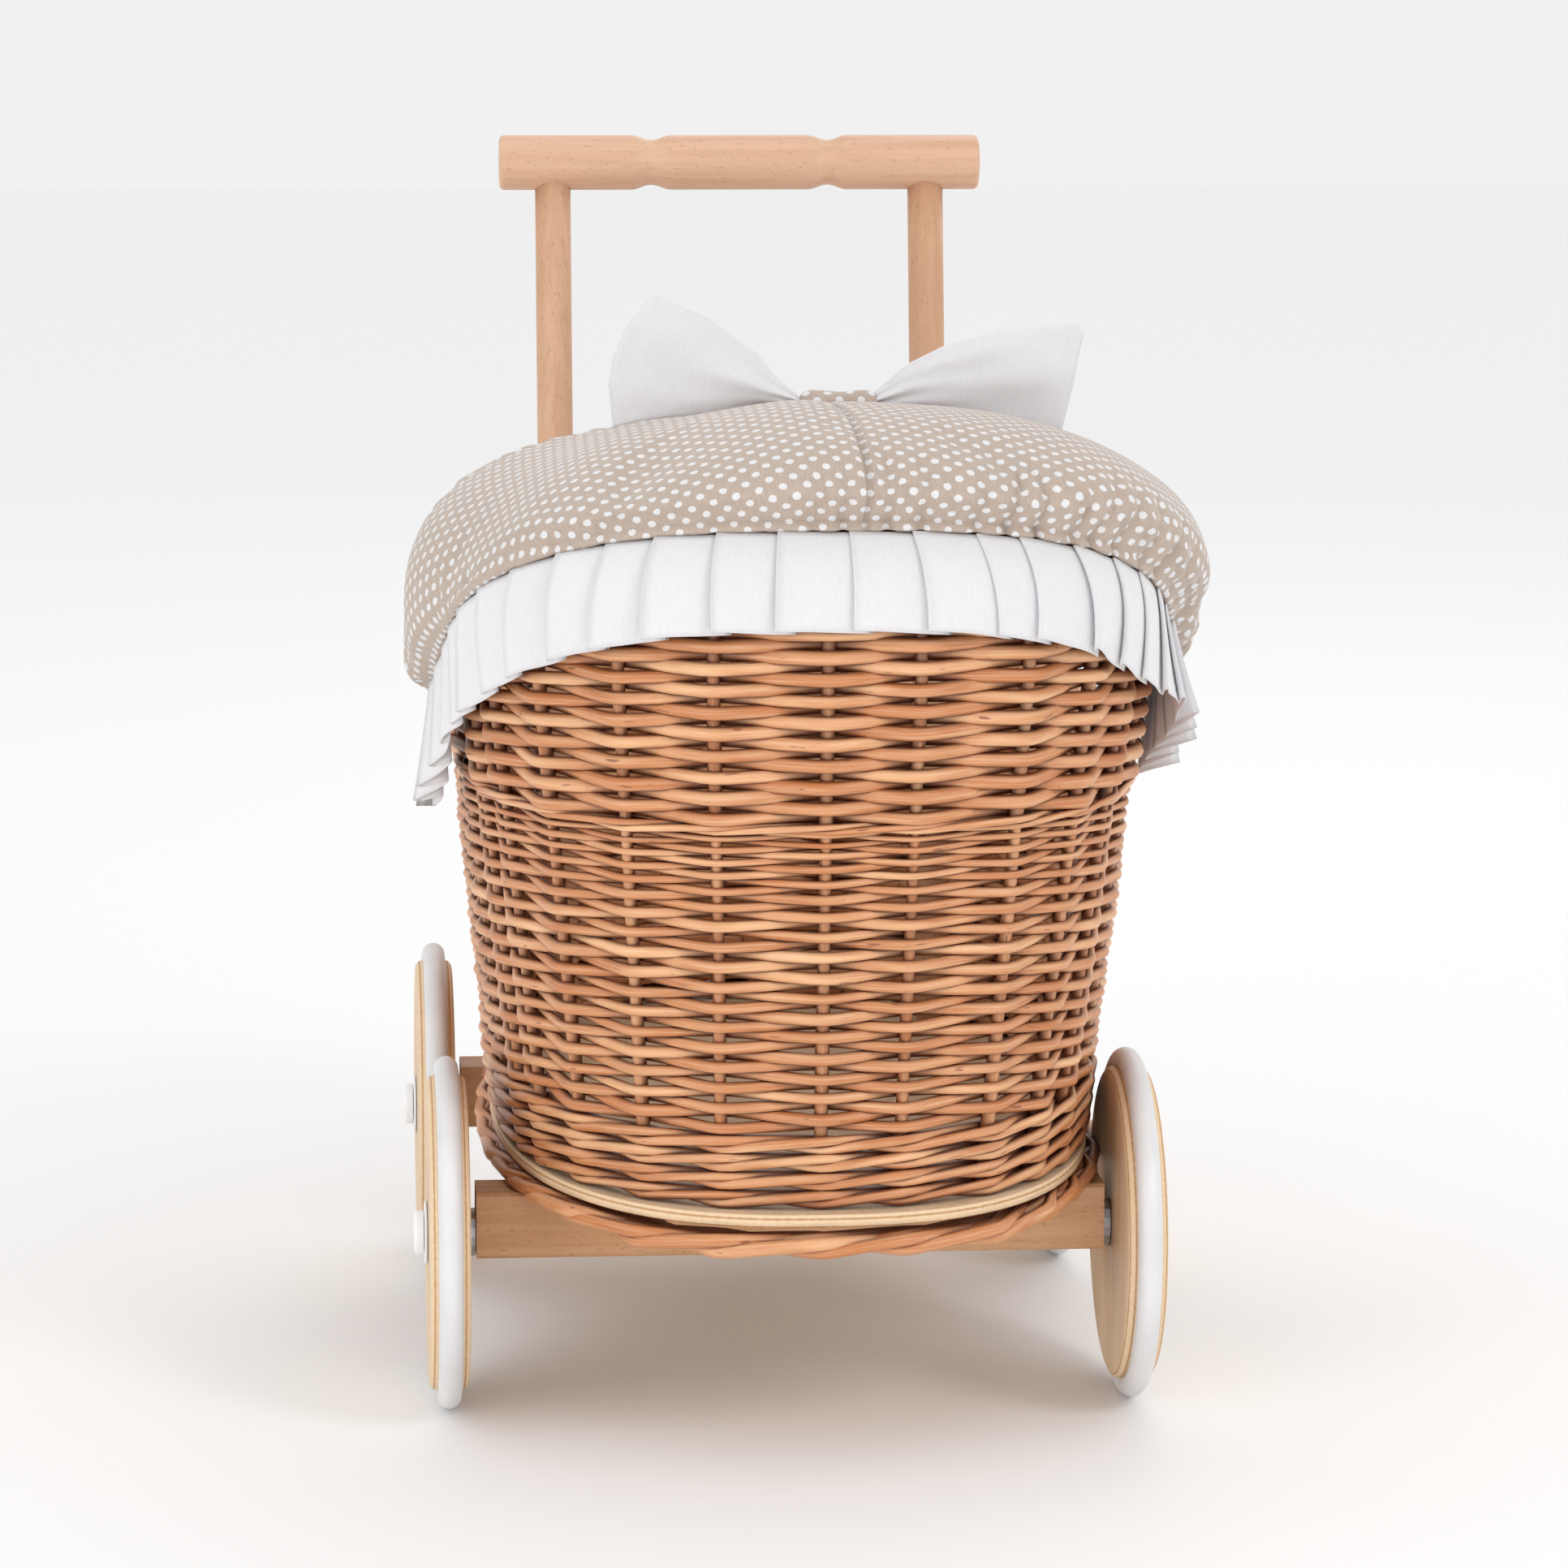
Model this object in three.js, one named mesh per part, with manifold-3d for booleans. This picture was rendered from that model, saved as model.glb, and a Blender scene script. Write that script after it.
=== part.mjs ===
// Doll stroller: a woven willow basket with a hood, on an oval plywood base and two
// beech crossbars with four plywood wheels, and a push handle that leans back.
// Millimetres, +Z up, the hood end faces -Y. The origin is on the floor, under the
// middle of the whole object.
import * as THREE from 'three';
import { mergeVertices } from 'three/addons/utils/BufferGeometryUtils.js';
import Module from 'manifold-3d';

const wasm = await Module();
wasm.setup();

// ---- Driving dimensions ----------------------------------------------------------

const GAP = 0.3;                       // air between pieces that touch

const WHEEL_RADIUS = 80;               // over the tyre
const CHASSIS_X = -6;                  // crossbars, wheels and handle, beside the basket's middle
const FRONT_AXLE_Y = -108;
const REAR_AXLE_Y = 157;
const WHEEL_SEGMENTS = 36;
const DISC_RADIUS = 71.5;
const DISC_THICKNESS = 18;
const DISC_EDGE = 2;                   // softened edge of the disc
const TYRE_SECTION_RADIUS = 5.5;
const TYRE_RING_RADIUS = WHEEL_RADIUS - TYRE_SECTION_RADIUS;
const SPACER_THICKNESS = 3.2;
const SPACER_RADIUS = 11;
const BUSH_RADIUS = 6.2;
const AXLE_RADIUS = 4.2;
const AXLE_GRIP = 36;                  // length of axle screw inside the crossbar
const AXLE_CLEARANCE = 0.5;            // between the axle screw and what turns on it
const AXLE_HEAD_RADIUS = 7;
const AXLE_HEAD_HEIGHT = 2.8;
const CAP_BASE_RADIUS = 14.5;
const CAP_BASE_THICKNESS = 1.2;
const CAP_RADIUS = 10;
const CAP_WALL = 1.2;

const CROSSBAR_HALF_LENGTH = 143;
const CROSSBAR_DEPTH = 28;
const CROSSBAR_HEIGHT = 30.5;
const CROSSBAR_BOTTOM = 70.5;
const CROSSBAR_EDGE = 1.5;             // chamfer along the bar
const CROSSBAR_TOP = CROSSBAR_BOTTOM + CROSSBAR_HEIGHT;

const BASKET_Y = 9;                    // middle of the basket's oval plan
const FOOT_POWER = 2.5;                // the plan's corners: 2 is an ellipse, more is squarer
const HOOD_POWER = 3;
const BOARD_BOTTOM = 110;
const BOARD_THICKNESS = 5.5;
const BOARD_TOP = BOARD_BOTTOM + BOARD_THICKNESS;
const BOARD_HALF_WIDTH = 138.5;
const BOARD_HALF_LENGTH = 240;
const FOOT_INSET = 7;                  // foot border, inside the edge of the board
const FOOT_WIDTH = 10;

const WALL_BOTTOM = BOARD_TOP + GAP;
const WALL_TOP = 290;
const WALL_THICKNESS = 10;
const WALL_HALF_WIDTH = 137.5;         // outside, at the bottom
const WALL_HALF_LENGTH = 231;
const SIDE_FLARE = 0.11;               // outward per unit of height
const END_FLARE = 0.14;
const BORDER_RADIUS = 6;

const HOOD_BOTTOM = WALL_TOP + GAP;
const HOOD_EDGE_Y = -48;               // plane of the hood's open arch
const HOOD_THICKNESS = 10;
const SHOULDER_Z = 355;                // the hood curves in above this height
const CROWN_Z = 436;
const CROWN_POWER = 2.8;
const END_SWEEP = 0.06;                // where a hoop stops short of its pivot, radians

const SEAM_PIVOT_Z = 312;              // the cover's lower seam is a hoop about this height
const SEAM_TILT = 0.51;                // tilt of that hoop from level, radians
const HEM_PIVOT_Z = 275;               // the ruffle's free edge is a hoop about this height
const HEM_TILT = 0.44;
const COVER_CLEARANCE = 2.2;           // between the willow and the fabric
const COVER_PUFF = 18.5;               // padding at its fullest
const COVER_EDGE = 8;                  // padding at the cover's edges
const RUFFLE_THICKNESS = 6;

const BOW_X = 18;
const BOW_Y = -68;
const BOW_THICKNESS = 12;
const KNOT_HALF_WIDTH = 18;
const KNOT_Z = 457;

const POST_X = 93;
const POST_RADIUS = 8.8;
const POST_FOOT_Y = 148;
const BAR_Y = 223;
const BAR_Z = 543;
const BAR_RADIUS = 13.5;
const BAR_HALF_LENGTH = 119.5;
const BAR_EDGE = 3;                    // rounding of the bar's ends
const GRIP_GROOVE_X = 44;
const GRIP_GROOVE_HALF_WIDTH = 10;
const GRIP_GROOVE_DEPTH = 2.4;
const DOWEL_RADIUS = 4;
const DOWEL_HALF_LENGTH = 16;

const BOARD_SCREW_X = 60;
const BOARD_SCREW_LENGTH = 30;
const POST_SCREW_Y = 152;
const POST_SCREW_LENGTH = 66;
const SCREW_RADIUS = 2;
const SCREW_HEAD_RADIUS = 4;
const SCREW_HEAD_HEIGHT = 2.4;
const POST_SCREW_RECESS = 5;           // depth of the hole that hides its head

// ---- Materials -------------------------------------------------------------------

function finish(color, roughness, metalness = 0) {
  return new THREE.MeshStandardMaterial({ color, roughness, metalness });
}

const WILLOW = finish(0xcd8c64, 0.55);
const BEECH = finish(0xdeb491, 0.5);
const PLYWOOD = finish(0xe1c3a0, 0.55);
const RUBBER = finish(0xebebf0, 0.5);
const PLASTIC = finish(0xf2f2f4, 0.35);
const STEEL = finish(0xb8bcc0, 0.35, 1);
const DOTTED_COTTON = finish(0xc8b6a5, 0.85);
const WHITE_COTTON = finish(0xf0f0f2, 0.85);

// ---- Building blocks -------------------------------------------------------------

const model = new THREE.Group();
const body = new THREE.Group();        // basket, hood and fabric
const chassis = new THREE.Group();     // crossbars, wheels and handle
chassis.position.x = CHASSIS_X;
model.add(body, chassis);

function add(group, name, geometry, material, place = (mesh) => mesh) {
  const mesh = new THREE.Mesh(geometry, material);
  mesh.name = name;
  place(mesh);
  group.add(mesh);
}

function steps(count) {
  return Array.from({ length: count + 1 }, (_, index) => index / count);
}

function mix(from, to, amount) {
  return from + (to - from) * amount;
}

// A surface of triangles, turned so that its faces point out.
function surface(points, triangles) {
  let volume = 0;
  for (const [a, b, c] of triangles) {
    volume += points[a].dot(points[b].clone().cross(points[c]));
  }
  const order = volume < 0 ? triangles.map(([a, b, c]) => [a, c, b]) : triangles;
  const geometry = new THREE.BufferGeometry().setFromPoints(points);
  geometry.setIndex(order.flat());
  return geometry;
}

// A solid through a row of equal loops of points. Each loop runs along one face of the
// piece and back along the other, so that its two ends close with a strip.
function loft(loops, closed) {
  const size = loops[0].length;
  const triangles = [];
  const spans = closed ? loops.length : loops.length - 1;
  for (let span = 0; span < spans; span++) {
    const here = span * size;
    const next = ((span + 1) % loops.length) * size;
    for (let corner = 0; corner < size; corner++) {
      const other = (corner + 1) % size;
      triangles.push([here + corner, here + other, next + other]);
      triangles.push([here + corner, next + other, next + corner]);
    }
  }
  if (!closed) {
    const last = (loops.length - 1) * size;
    for (let corner = 0; corner < size / 2 - 1; corner++) {
      const ring = [corner, corner + 1, size - 2 - corner, size - 1 - corner];
      triangles.push([ring[0], ring[2], ring[1]], [ring[0], ring[3], ring[2]]);
      const [a, b, c, d] = ring.map((index) => index + last);
      triangles.push([a, b, c], [a, c, d]);
    }
  }
  return surface(loops.flat(), triangles);
}

// A solid of revolution about +Y from [radius, height] pairs. It starts and ends on the
// axis, or closes on itself.
function turned(profile, segments) {
  const points = profile.map(([radius, height]) => new THREE.Vector2(radius, height));
  const lathe = new THREE.LatheGeometry(points, segments);
  lathe.deleteAttribute('normal');
  lathe.deleteAttribute('uv');
  const merged = mergeVertices(lathe);
  const corners = merged.getAttribute('position');
  const vertices = [];
  for (let index = 0; index < corners.count; index++) {
    vertices.push(new THREE.Vector3().fromBufferAttribute(corners, index));
  }
  const index = merged.getIndex().array;
  const triangles = [];
  for (let start = 0; start < index.length; start += 3) {
    const [a, b, c] = index.slice(start, start + 3);
    if (a !== b && b !== c && c !== a) {
      triangles.push([a, b, c]);
    }
  }
  return surface(vertices, triangles);
}

function tube(outer, inner, length, segments) {
  return turned([[inner, 0], [outer, 0], [outer, length], [inner, length], [inner, 0]], segments);
}

function rod(radius, length, segments) {
  return turned([[0, 0], [radius, 0], [radius, length], [0, length]], segments);
}

function toSolid(geometry) {
  const bare = geometry.clone();
  bare.deleteAttribute('normal');
  bare.deleteAttribute('uv');
  const merged = mergeVertices(bare);
  return new wasm.Manifold(new wasm.Mesh({
    numProp: 3,
    vertProperties: Float32Array.from(merged.getAttribute('position').array),
    triVerts: Uint32Array.from(merged.getIndex().array),
  }));
}

function toGeometry(solid) {
  const mesh = solid.getMesh();
  const geometry = new THREE.BufferGeometry();
  geometry.setAttribute('position', new THREE.BufferAttribute(mesh.vertProperties, 3));
  geometry.setIndex(new THREE.BufferAttribute(mesh.triVerts, 1));
  return geometry;
}

function cut(geometry, ...tools) {
  return toGeometry(tools.reduce((solid, tool) => solid.subtract(toSolid(tool)), toSolid(geometry)));
}

// A round cutter from one point towards another.
function drill(radius, from, to, segments = 16) {
  const path = to.clone().sub(from);
  const turn = new THREE.Quaternion().setFromUnitVectors(
    new THREE.Vector3(0, 1, 0), path.clone().normalize());
  return rod(radius, path.length(), segments)
    .applyQuaternion(turn)
    .translate(from.x, from.y, from.z);
}

// ---- Basket outline --------------------------------------------------------------

function halfWidthAt(height) {
  return WALL_HALF_WIDTH + SIDE_FLARE * (height - WALL_BOTTOM);
}

function halfLengthAt(height) {
  return WALL_HALF_LENGTH + END_FLARE * (height - WALL_BOTTOM);
}

// The plan is squarer higher up.
function powerAt(height) {
  const rise = (height - BOARD_TOP) / (SHOULDER_Z - BOARD_TOP);
  return mix(FOOT_POWER, HOOD_POWER, THREE.MathUtils.clamp(rise, 0, 1));
}

// A point of the oval plan: angle 0 is +X, a quarter turn is the handle end.
function planPoint(angle, halfWidth, halfLength, height) {
  const power = powerAt(height);
  const across = Math.abs(Math.cos(angle) / halfWidth) ** power;
  const along = Math.abs(Math.sin(angle) / halfLength) ** power;
  const reach = (across + along) ** (-1 / power);
  return new THREE.Vector3(
    reach * Math.cos(angle), BASKET_Y + reach * Math.sin(angle), height);
}

function boardOutline(inset, count) {
  return steps(count).slice(0, -1).map((turn) => {
    const point = planPoint(
      turn * 2 * Math.PI, BOARD_HALF_WIDTH - inset, BOARD_HALF_LENGTH - inset, 0);
    return new THREE.Vector2(point.x, point.y);
  });
}

// Above the shoulder the hood's plan shrinks towards the middle of its open arch.
// The result is under 1 inside the hood's surface, which lies `inset` within the outside.
function hoodLevel(point, inset) {
  const rise = Math.max(0, (point.z - SHOULDER_Z) / (CROWN_Z - inset - SHOULDER_Z));
  if (rise >= 1) {
    return Infinity;
  }
  const scale = (1 - rise ** CROWN_POWER) ** (1 / CROWN_POWER);
  const x = point.x / scale;
  const y = HOOD_EDGE_Y + (point.y - HOOD_EDGE_Y) / scale - BASKET_Y;
  const power = powerAt(point.z);
  const across = Math.abs(x / (halfWidthAt(point.z) - inset)) ** power;
  const along = Math.abs(y / (halfLengthAt(point.z) - inset)) ** power;
  return across + along;
}

// A point of a hoop that hinges about a line across the arch, as a folding hood's does.
// Sweep runs from the +X pivot over to the -X one. Tilt 0 is level, a quarter turn is the
// open arch.
function hoopPoint(sweep, tilt, pivotZ, inset) {
  const direction = new THREE.Vector3(
    Math.cos(sweep), -Math.sin(sweep) * Math.cos(tilt), Math.sin(sweep) * Math.sin(tilt));
  const pivot = new THREE.Vector3(0, HOOD_EDGE_Y, pivotZ);
  let near = 0;
  let far = 2 * BOARD_HALF_LENGTH;
  for (let halving = 0; halving < 40; halving++) {
    const middle = (near + far) / 2;
    const level = hoodLevel(pivot.clone().addScaledVector(direction, middle), inset);
    [near, far] = level < 1 ? [middle, far] : [near, middle];
  }
  return pivot.addScaledVector(direction, near);
}

function hoopSweeps(count) {
  return steps(count).map((step) => mix(END_SWEEP, Math.PI - END_SWEEP, step));
}

// A round border along a row of points.
function border(path, radius, sides) {
  const curve = new THREE.CatmullRomCurve3(path);
  const circle = steps(sides).slice(0, -1).map((turn) => new THREE.Vector2(
    radius * Math.cos(turn * 2 * Math.PI), radius * Math.sin(turn * 2 * Math.PI)));
  return new THREE.ExtrudeGeometry(new THREE.Shape(circle), {
    steps: path.length - 1, bevelEnabled: false, extrudePath: curve,
  });
}

// ---- Chassis ---------------------------------------------------------------------

function crossbarBlank() {
  const y = CROSSBAR_DEPTH / 2;
  const z = CROSSBAR_HEIGHT / 2;
  const e = CROSSBAR_EDGE;
  const corners = [
    [-y, e - z], [e - y, -z], [y - e, -z], [y, e - z],
    [y, z - e], [y - e, z], [e - y, z], [-y, z - e],
  ].map(([depth, height]) => new THREE.Vector2(depth, height));
  return new THREE.ExtrudeGeometry(new THREE.Shape(corners), {
    depth: 2 * CROSSBAR_HALF_LENGTH, bevelEnabled: false,
  })
    .rotateX(Math.PI / 2)
    .rotateZ(Math.PI / 2)
    .translate(-CROSSBAR_HALF_LENGTH, 0, CROSSBAR_BOTTOM + z);
}

function crossbar(axleY, holes) {
  const axleHoles = [-1, 1].map((side) => drill(
    AXLE_RADIUS + GAP,
    new THREE.Vector3(side * (CROSSBAR_HALF_LENGTH - AXLE_GRIP - 2), axleY, WHEEL_RADIUS),
    new THREE.Vector3(side * (CROSSBAR_HALF_LENGTH + 5), axleY, WHEEL_RADIUS)));
  const screwHoles = [-1, 1].map((side) => drill(
    SCREW_RADIUS + GAP,
    new THREE.Vector3(side * BOARD_SCREW_X, axleY, BOARD_TOP - BOARD_SCREW_LENGTH - 2),
    new THREE.Vector3(side * BOARD_SCREW_X, axleY, CROSSBAR_TOP + 5), 12));
  return cut(crossbarBlank().translate(0, axleY, 0), ...axleHoles, ...screwHoles, ...holes);
}

// The post screws enter from under the rear crossbar, in recesses.
function postScrewHoles() {
  return [-1, 1].flatMap((side) => {
    const x = side * POST_X;
    return [
      drill(SCREW_RADIUS + GAP, new THREE.Vector3(x, POST_SCREW_Y, CROSSBAR_BOTTOM - 5),
        new THREE.Vector3(x, POST_SCREW_Y, CROSSBAR_TOP + 5), 12),
      drill(SCREW_HEAD_RADIUS + GAP, new THREE.Vector3(x, POST_SCREW_Y, CROSSBAR_BOTTOM - 5),
        new THREE.Vector3(x, POST_SCREW_Y, CROSSBAR_BOTTOM + POST_SCREW_RECESS), 12),
    ];
  });
}

// A pan-head screw along +Y, with its head's underside at 0 and its shank below.
function screw(length) {
  return turned([
    [0, -length], [SCREW_RADIUS, -length + 3], [SCREW_RADIUS, 0], [SCREW_HEAD_RADIUS, 0],
    [SCREW_HEAD_RADIUS, SCREW_HEAD_HEIGHT * 0.5], [SCREW_HEAD_RADIUS * 0.6, SCREW_HEAD_HEIGHT],
    [0, SCREW_HEAD_HEIGHT],
  ], 12);
}

function hole(x, y) {
  const path = new THREE.Path();
  path.absarc(x, y, SCREW_RADIUS + GAP, 0, 2 * Math.PI, true);
  return path;
}

function addChassis() {
  add(chassis, 'front_crossbar', crossbar(FRONT_AXLE_Y, []), BEECH);
  add(chassis, 'rear_crossbar', crossbar(REAR_AXLE_Y, postScrewHoles()), BEECH);

  const board = new THREE.Shape(boardOutline(0, 48));
  for (const side of [-1, 1]) {
    board.holes.push(hole(CHASSIS_X + side * BOARD_SCREW_X, FRONT_AXLE_Y));
    board.holes.push(hole(CHASSIS_X + side * BOARD_SCREW_X, REAR_AXLE_Y));
    board.holes.push(hole(CHASSIS_X + side * POST_X, POST_SCREW_Y));
  }
  const slab = { depth: BOARD_THICKNESS, bevelEnabled: false, curveSegments: 6 };
  add(body, 'base_board', new THREE.ExtrudeGeometry(board, slab), PLYWOOD,
    (mesh) => mesh.position.set(0, 0, BOARD_BOTTOM));

  const foot = new THREE.Shape(boardOutline(FOOT_INSET, 40));
  foot.holes.push(new THREE.Path(boardOutline(FOOT_INSET + FOOT_WIDTH, 40)));
  const footHeight = BOARD_BOTTOM - CROSSBAR_TOP - 2 * GAP;
  add(body, 'foot_border', new THREE.ExtrudeGeometry(foot, { depth: footHeight, bevelEnabled: false }),
    WILLOW, (mesh) => mesh.position.set(0, 0, CROSSBAR_TOP + GAP));

  for (const [end, y] of [['front', FRONT_AXLE_Y], ['rear', REAR_AXLE_Y]]) {
    for (const [side, x] of [['left', -BOARD_SCREW_X], ['right', BOARD_SCREW_X]]) {
      add(chassis, `board_screw_${end}_${side}`, screw(BOARD_SCREW_LENGTH), STEEL, (mesh) => {
        mesh.rotation.x = Math.PI / 2;
        mesh.position.set(x, y, BOARD_TOP + GAP);
      });
    }
  }
}

// ---- Wheels ----------------------------------------------------------------------

// Profiles run outwards along the axle, from the disc's inner face.
function discProfile() {
  const seat = TYRE_SECTION_RADIUS + GAP;
  const middle = DISC_THICKNESS / 2;
  const mouth = Math.acos((TYRE_RING_RADIUS - DISC_RADIUS) / seat);
  const groove = steps(4).map((step) => {
    const angle = mix(-mouth, mouth, step);
    return [TYRE_RING_RADIUS - seat * Math.cos(angle), middle + seat * Math.sin(angle)];
  });
  const bore = BUSH_RADIUS + 2 * GAP;
  return [
    [bore, 0], [DISC_RADIUS - DISC_EDGE, 0], [DISC_RADIUS, DISC_EDGE], ...groove,
    [DISC_RADIUS, DISC_THICKNESS - DISC_EDGE], [DISC_RADIUS - DISC_EDGE, DISC_THICKNESS],
    [bore, DISC_THICKNESS], [bore, 0],
  ];
}

function tyreProfile() {
  return steps(8).map((step) => {
    const angle = step * 2 * Math.PI;
    return [
      TYRE_RING_RADIUS + TYRE_SECTION_RADIUS * Math.cos(angle),
      DISC_THICKNESS / 2 + TYRE_SECTION_RADIUS * Math.sin(angle),
    ];
  });
}

function addWheel(name, side, axleY) {
  const inner = CROSSBAR_HALF_LENGTH + SPACER_THICKNESS + 2 * GAP;
  const face = inner + DISC_THICKNESS;
  const bore = AXLE_RADIUS + AXLE_CLEARANCE;
  const put = (distance) => (mesh) => {
    mesh.rotation.z = -side * Math.PI / 2;
    mesh.position.set(side * distance, axleY, WHEEL_RADIUS);
  };

  add(chassis, `${name}_disc`, turned(discProfile(), WHEEL_SEGMENTS), PLYWOOD, put(inner));
  add(chassis, `${name}_tyre`, turned(tyreProfile(), WHEEL_SEGMENTS), RUBBER, put(inner));
  add(chassis, `${name}_bush`, tube(BUSH_RADIUS, bore, DISC_THICKNESS - GAP, 16), PLASTIC,
    put(inner + GAP / 2));

  add(chassis, `${name}_spacer`, tube(SPACER_RADIUS, bore, SPACER_THICKNESS, 16), STEEL,
    put(CROSSBAR_HALF_LENGTH + GAP));
  const headAt = face + CAP_BASE_THICKNESS + 2 * GAP;
  const shank = headAt - CROSSBAR_HALF_LENGTH + AXLE_GRIP;
  add(chassis, `${name}_axle_screw`, turned([
    [0, -shank], [AXLE_RADIUS, -shank + 4], [AXLE_RADIUS, 0], [AXLE_HEAD_RADIUS, 0],
    [AXLE_HEAD_RADIUS, AXLE_HEAD_HEIGHT], [0, AXLE_HEAD_HEIGHT],
  ], 16), STEEL, put(headAt));
  add(chassis, `${name}_cap_base`, tube(CAP_BASE_RADIUS, bore, CAP_BASE_THICKNESS, 20), PLASTIC,
    put(face + GAP));
  const room = AXLE_HEAD_RADIUS + 2 * GAP;
  const ceiling = AXLE_HEAD_HEIGHT + GAP;
  add(chassis, `${name}_cap`, turned([
    [0, ceiling], [room, ceiling], [room, 0], [CAP_RADIUS, 0], [CAP_RADIUS, ceiling - 0.6],
    [CAP_RADIUS - 1.6, ceiling + CAP_WALL * 0.7], [0, ceiling + CAP_WALL],
  ], 20), PLASTIC, put(headAt));
}

function addWheels() {
  for (const [end, axleY] of [['front', FRONT_AXLE_Y], ['rear', REAR_AXLE_Y]]) {
    addWheel(`${end}_left_wheel`, -1, axleY);
    addWheel(`${end}_right_wheel`, 1, axleY);
  }
}

// ---- Basket and hood -------------------------------------------------------------

function addBasket() {
  const levels = steps(2).map((step) => mix(WALL_BOTTOM, WALL_TOP, step));
  const loops = steps(48).slice(0, -1).map((turn) => {
    const at = (height, inset) => planPoint(turn * 2 * Math.PI,
      halfWidthAt(height) - inset, halfLengthAt(height) - inset, height);
    const outside = levels.map((height) => at(height, 0));
    const inside = levels.map((height) => at(height, WALL_THICKNESS)).reverse();
    return [...outside, ...inside];
  });
  add(body, 'basket_wall', loft(loops, true), WILLOW);

  const rimZ = WALL_TOP + BORDER_RADIUS + 2 * GAP;
  const rimStart = -0.25;
  const rim = steps(30).map((step) => planPoint(mix(rimStart, Math.PI - rimStart, step),
    halfWidthAt(WALL_TOP) - WALL_THICKNESS / 2, halfLengthAt(WALL_TOP) - WALL_THICKNESS / 2,
    rimZ));
  add(body, 'rim_border', border(rim, BORDER_RADIUS, 8), WILLOW);

  const tilts = steps(6).map((step) => step * Math.PI / 2);
  const shell = hoopSweeps(24).map((sweep) => [
    ...tilts.map((tilt) => hoopPoint(sweep, tilt, HOOD_BOTTOM, 0)),
    ...tilts.map((tilt) => hoopPoint(sweep, tilt, HOOD_BOTTOM, HOOD_THICKNESS)).reverse(),
  ]);
  add(body, 'hood_weave', loft(shell, false), WILLOW);

  const arch = hoopSweeps(24).map((sweep) =>
    hoopPoint(sweep, Math.PI / 2, HOOD_BOTTOM, HOOD_THICKNESS / 2));
  add(body, 'hood_border', border(arch, BORDER_RADIUS, 8), WILLOW,
    (mesh) => mesh.position.set(0, BORDER_RADIUS + 2 * GAP, 0));
}

// ---- Fabric ----------------------------------------------------------------------

// Padding is full in the middle of the cover and thin at its seam and its open edge.
function coverPadding(step) {
  return mix(COVER_EDGE, COVER_PUFF, Math.sin(Math.PI * step) ** 0.5);
}

function addCover() {
  const firstTilt = SEAM_TILT + 0.03;
  const rows = steps(6);
  const tiltAt = (step) => mix(firstTilt, Math.PI / 2, step);
  const loops = hoopSweeps(24).map((sweep) => [
    ...rows.map((step) => hoopPoint(sweep, tiltAt(step), SEAM_PIVOT_Z, -coverPadding(step))),
    ...rows.map((step) => hoopPoint(sweep, tiltAt(step), SEAM_PIVOT_Z, -COVER_CLEARANCE))
      .reverse(),
  ]);
  add(body, 'hood_cover', loft(loops, false), DOTTED_COTTON);
}

function addRuffle() {
  const rows = steps(3);
  const at = (sweep, step, inset) => hoopPoint(
    sweep, mix(SEAM_TILT, HEM_TILT, step), mix(SEAM_PIVOT_Z, HEM_PIVOT_Z, step), inset);
  const loops = hoopSweeps(24).map((sweep) => [
    ...rows.map((step) => at(sweep, step, -COVER_CLEARANCE - RUFFLE_THICKNESS)),
    ...rows.map((step) => at(sweep, step, -COVER_CLEARANCE)).reverse(),
  ]);
  add(body, 'ruffle', loft(loops, false), WHITE_COTTON);
}

// A wing stands on the crown, from [x, z] pairs about the middle of the bow.
function wing(outline) {
  const shape = new THREE.Shape(outline.map(([x, z]) => new THREE.Vector2(x, z)));
  return new THREE.ExtrudeGeometry(shape, { depth: BOW_THICKNESS, bevelEnabled: false })
    .rotateX(Math.PI / 2)
    .translate(BOW_X, BOW_Y + BOW_THICKNESS / 2, 0);
}

function addBow() {
  const near = KNOT_HALF_WIDTH + 1;
  const left = [
    [-near, 456], [-29, 468], [-37, 477], [-59, 492], [-84, 503], [-99, 480], [-102, 467],
    [-102, 449], [-60, 451], [-near, 452],
  ];
  const right = [
    [near, 458], [near, 452], [60, 450], [102, 448], [109, 472], [112, 484], [110, 489],
    [89, 487], [69, 485], [47, 478], [31, 471],
  ];
  add(body, 'bow_left_wing', wing(left), WHITE_COTTON);
  add(body, 'bow_right_wing', wing(right), WHITE_COTTON);
  add(body, 'bow_knot', turned([
    [0, -KNOT_HALF_WIDTH], [4, -KNOT_HALF_WIDTH], [5.5, 0], [4, KNOT_HALF_WIDTH],
    [0, KNOT_HALF_WIDTH],
  ], 12), DOTTED_COTTON, (mesh) => {
    mesh.rotation.z = Math.PI / 2;
    mesh.position.set(BOW_X, BOW_Y, KNOT_Z);
  });
}

// ---- Handle ----------------------------------------------------------------------

// How far back the post has leaned at a height.
function postY(height) {
  return mix(POST_FOOT_Y, BAR_Y, (height - BOARD_TOP) / (BAR_Z - BOARD_TOP));
}

function postPoint(side, height) {
  return new THREE.Vector3(side * POST_X, postY(height), height);
}

function dowelEnds(side) {
  const joint = new THREE.Vector3(side * POST_X, BAR_Y, BAR_Z);
  const down = postPoint(side, BOARD_TOP).sub(joint).normalize();
  const middle = joint.clone().addScaledVector(down, BAR_RADIUS);
  return [DOWEL_HALF_LENGTH, -DOWEL_HALF_LENGTH + 6].map(
    (shift) => middle.clone().addScaledVector(down, shift));
}

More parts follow.
